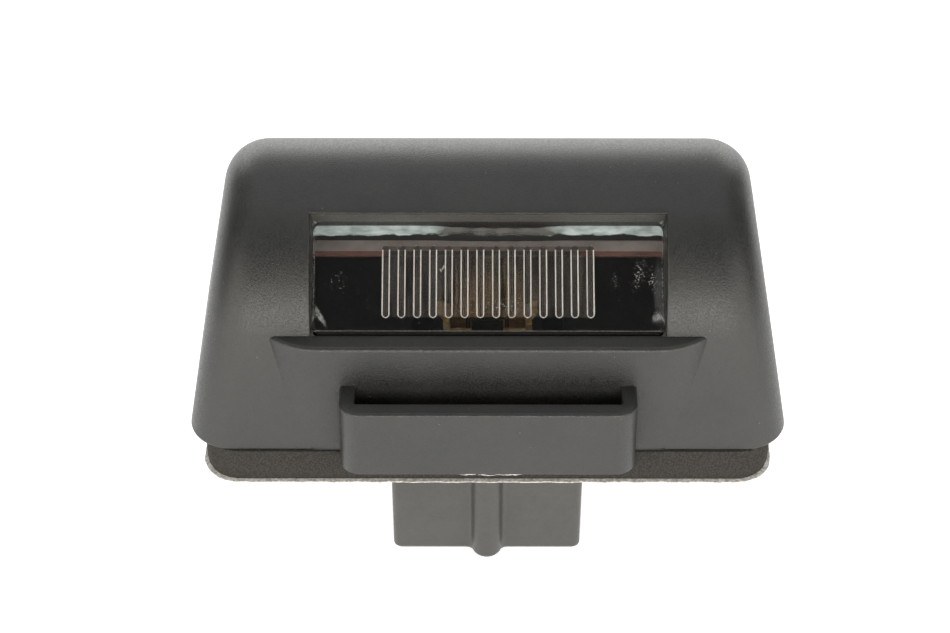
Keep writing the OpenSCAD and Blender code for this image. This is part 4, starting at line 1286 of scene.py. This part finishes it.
def helix_tube(start, end, coil_r, wire_r, turns, steps=16, sides=6):
    """A coil's wire: a circle carried along a helix from start to end along x."""
    t = np.linspace(0, 1, turns * steps + 1)
    angle = 2 * np.pi * turns * t
    x = start[0] + (end[0] - start[0]) * t
    ring = np.stack([0 * angle, np.cos(angle), np.sin(angle)], -1)
    centre = np.stack([x, start[1] + coil_r * ring[:, 1], start[2] + coil_r * ring[:, 2]], -1)
    tangent = np.gradient(centre, axis=0)
    tangent /= np.linalg.norm(tangent, axis=1)[:, None]
    side = np.cross(tangent, ring)
    phi = np.linspace(0, 2 * np.pi, sides, endpoint=False)
    return centre[:, None] + wire_r * (
        np.cos(phi)[None, :, None] * ring[:, None] + np.sin(phi)[None, :, None] * side[:, None])


class PLATELAMP_OT_stage(Operator):
    """Floor, lamps, surroundings and camera"""
    bl_idname = "plate_lamp.stage"
    bl_label = "Stage"

    def execute(self, context):
        cfg = settings("stage")
        half, floor_z = cfg.floor_size / 2, CAD_BOX[0].z
        mesh = bpy.data.meshes.new("floor")
        corners = ((-half, -half), (half, -half), (half, half), (-half, half))
        mesh.from_pydata([(x, y, floor_z) for x, y in corners], [], [(0, 1, 2, 3)])
        mesh.materials.append(studio_floor("matte_white_card", tuple(cfg.floor), cfg.lift, cfg.sheen))
        floor = bpy.data.objects.new("floor", mesh)
        context.scene.collection.objects.link(floor)
        for name, place, size_x, size_y, radiance, colour in LAMPS:
            lamp = bpy.data.lights.new(name, "AREA")
            lamp.shape = "RECTANGLE"
            lamp.size, lamp.size_y = size_x, size_y
            lamp.color = srgb(colour)[:3]
            lamp.energy = radiance * np.pi * size_x * size_y
            holder = bpy.data.objects.new(name, lamp)
            turned = (Vector(AIM) - Vector(place)).to_track_quat("-Z", "Y")
            holder.matrix_world = Matrix.Translation(place) @ turned.to_matrix().to_4x4()
            context.scene.collection.objects.link(holder)
        world = bpy.data.worlds.new("soft_room")
        world.use_nodes = True
        ground = world.node_tree.nodes["Background"]
        ground.inputs["Color"].default_value = srgb("eef6f6")
        ground.inputs["Strength"].default_value = cfg.fill
        context.scene.world = world
        camera = bpy.data.objects.new("camera", bpy.data.cameras.new("camera"))
        camera.data.sensor_width = 36.0
        camera.data.lens = cfg.focal
        camera.data.clip_start = 0.01
        yaw, pitch = cfg.turn, cfg.dip
        ahead = Vector((-sin(yaw) * cos(pitch), cos(yaw) * cos(pitch), -sin(pitch)))
        right = Vector((cos(yaw), sin(yaw), 0))
        up = right.cross(ahead)
        right, up = cos(cfg.roll) * right + sin(cfg.roll) * up, cos(cfg.roll) * up - sin(cfg.roll) * right
        turned = Matrix((right, up, -ahead)).transposed().to_4x4()
        camera.matrix_world = Matrix.Translation(Vector(cfg.place)) @ turned
        context.scene.collection.objects.link(camera)
        context.scene.camera = camera
        context.scene.view_settings.view_transform = "Standard"
        return {"FINISHED"}


class PLATELAMP_OT_housing(Operator):
    """Black housing: arch, side walls, window, ledge, chin and pocket"""
    bl_idname = "plate_lamp.housing"
    bl_label = "Housing"

    def execute(self, context):
        grain = settings("housing").grain
        finishes = [
            moulded_plastic("matte_black_abs", "1b1b1a", "252422", 0.45, grain, 0.5),
            painted_light_shelf("abs_shelf_painted_light", "6d6460", "7d7570"),
            painted_light_shelf("abs_shelf_painted_reflection", "4a2f28", "66443a"),
            moulded_plastic("polished_ceiling_abs_painted_light", "4b4a46", "56544f", 0.38, grain, 0.0)]
        surfaces = housing_surfaces() + chin_surface() + pocket_surface()
        piece = make_piece("housing_shell", surfaces, finishes)
        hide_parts("housing")
        return {"FINISHED"}


class PLATELAMP_OT_lens(Operator):
    """Clear lens with its flutes"""
    bl_idname = "plate_lamp.lens"
    bl_label = "Lens"

    def execute(self, context):
        finishes = [
            clear_plastic("clear_polycarbonate"),
            # Painted highlights on the flutes' flanks
            painted_light_plastic("flute_flank_painted_highlight", "aaa49c", "e9e4dd", 0.24),
            painted_light_plastic("shaded_flute_end", "1f1e1c", "34322f", 0.0),
            # Tool marks with a painted glow
            painted_light_plastic("flute_tool_marks_painted_glow", "0c0c0c", "5a5552", 0.1, 0.16),
            hazed_plastic("hazed_polycarbonate_painted_glow", "b9aea6", "b09578", settings("lens").haze),
            painted_top_band("top_edge_painted_highlight", 0.2),
            painted_light_plastic("foot_gap_painted_shade", "0b0b0b", "191817", 0.0, 0.3, 1.15),
            painted_light_plastic("foot_edge_painted_highlight", "3c3a37", "6a6762", 0.0, 0.3)]
        piece = make_piece("fluted_lens", lens_surfaces(), finishes, smooth=50)
        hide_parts("lens")
        return {"FINISHED"}


class PLATELAMP_OT_base(Operator):
    """Base plate with the connector tower"""
    bl_idname = "plate_lamp.base"
    bl_label = "Base"

    def execute(self, context):
        plastic = moulded_plastic("satin_black_nylon", "3b3b38", "444441", 0.42, 0.3 * MM, 0.25)
        smooth_copy("base_moulding", "base", plastic, angle=25, new_foot=True)
        return {"FINISHED"}


class PLATELAMP_OT_metals(Operator):
    """Contacts, lead wires, filament and spring clip"""
    bl_idname = "plate_lamp.metals"
    bl_label = "Metal parts"

    def execute(self, context):
        brass = worn_metal("tarnished_stamped_brass", "c79c50", "fbe6b8", 0.45, 1.2 * MM, 0.25)
        for node in ("contact_left", "contact_right"):
            smooth_copy(node + "_strip", node, brass, bevel=0.1)
        wire = worn_metal("tinned_lead_wire", "8d8d8c", "b9b9b7", 0.3, 1 * MM)
        for node in ("bulb_lead_left", "bulb_lead_right"):
            paint_node(node, wire)
        tungsten = worn_metal("drawn_tungsten", "5a5754", "7c7873", 0.35, 0.5 * MM)
        low, high = np.array(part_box("bulb_filament")) / MM
        mid = (low + high) / 2
        r = FILAMENT_WIRE_R
        start, end = (low[0] + r, mid[1], mid[2]), (high[0] - r, mid[1], mid[2])
        coil = helix_tube(start, end, (high[2] - low[2]) / 2 - r, r, FILAMENT_TURNS)
        surfaces = [surface(coil, wrap=True), cap(coil[0], flip=True), cap(coil[-1])]
        piece = make_piece(
            "filament_coil", surfaces, [tungsten], smooth=80, to_frame=stay)
        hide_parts("bulb_filament")
        steel = worn_metal("bright_spring_steel", "8b8c8e", "b4b5b7", 0.28, 2 * MM)
        smooth_copy("spring_clip_strip", "spring_clip", steel, bevel=0.08)
        return {"FINISHED"}


class PLATELAMP_OT_bulb(Operator):
    """Glass of the bulb"""
    bl_idname = "plate_lamp.bulb"
    bl_label = "Bulb"

    def execute(self, context):
        glass = bulb_glass("browned_bulb_glass")
        smooth_copy("bulb_envelope", "bulb_glass", glass, angle=45)
        return {"FINISHED"}


class PLATELAMP_OT_gasket(Operator):
    """Foam gasket and its release paper"""
    bl_idname = "plate_lamp.gasket"
    bl_label = "Gasket and paper"

    def execute(self, context):
        foam = foam_rubber("die_cut_foam")
        ring = make_piece("foam_gasket", gasket_surface(), [foam], smooth=60, to_frame=stay)
        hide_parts("gasket")
        white = release_paper("silicone_release_paper")
        paper = make_piece("release_paper_ring", paper_surface(), [white], to_frame=stay)
        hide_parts("release_liner")
        make_piece("torn_paper_fibres", torn_fibres(), [white], smooth=60, to_frame=stay)
        return {"FINISHED"}


class PLATELAMP_PT_panel(Panel):
    bl_idname = "PLATELAMP_PT_panel"
    bl_label = "Plate lamp"
    bl_space_type = "VIEW_3D"
    bl_region_type = "UI"
    bl_category = "Plate lamp"

    def draw(self, context):
        for step in STEPS:
            self.layout.operator(step.bl_idname)


GROUPS = {"stage": StageSettings, "housing": HousingSettings, "lens": LensSettings, "soft": SoftSettings}
STEPS = (
    PLATELAMP_OT_stage, PLATELAMP_OT_housing, PLATELAMP_OT_lens, PLATELAMP_OT_base, PLATELAMP_OT_metals,
    PLATELAMP_OT_bulb, PLATELAMP_OT_gasket)


def register():
    for cls in (*GROUPS.values(), *STEPS, PLATELAMP_PT_panel):
        bpy.utils.register_class(cls)
    for name, group in GROUPS.items():
        setattr(bpy.types.Scene, "plate_lamp_" + name, bpy.props.PointerProperty(type=group))


def unregister():
    for name in GROUPS:
        delattr(bpy.types.Scene, "plate_lamp_" + name)
    for cls in (PLATELAMP_PT_panel, *reversed(STEPS), *GROUPS.values()):
        bpy.utils.unregister_class(cls)


def main():
    register()
    for step in STEPS:
        area, name = step.bl_idname.split(".")
        getattr(getattr(bpy.ops, area), name)()


if __name__ == "__main__":
    main()
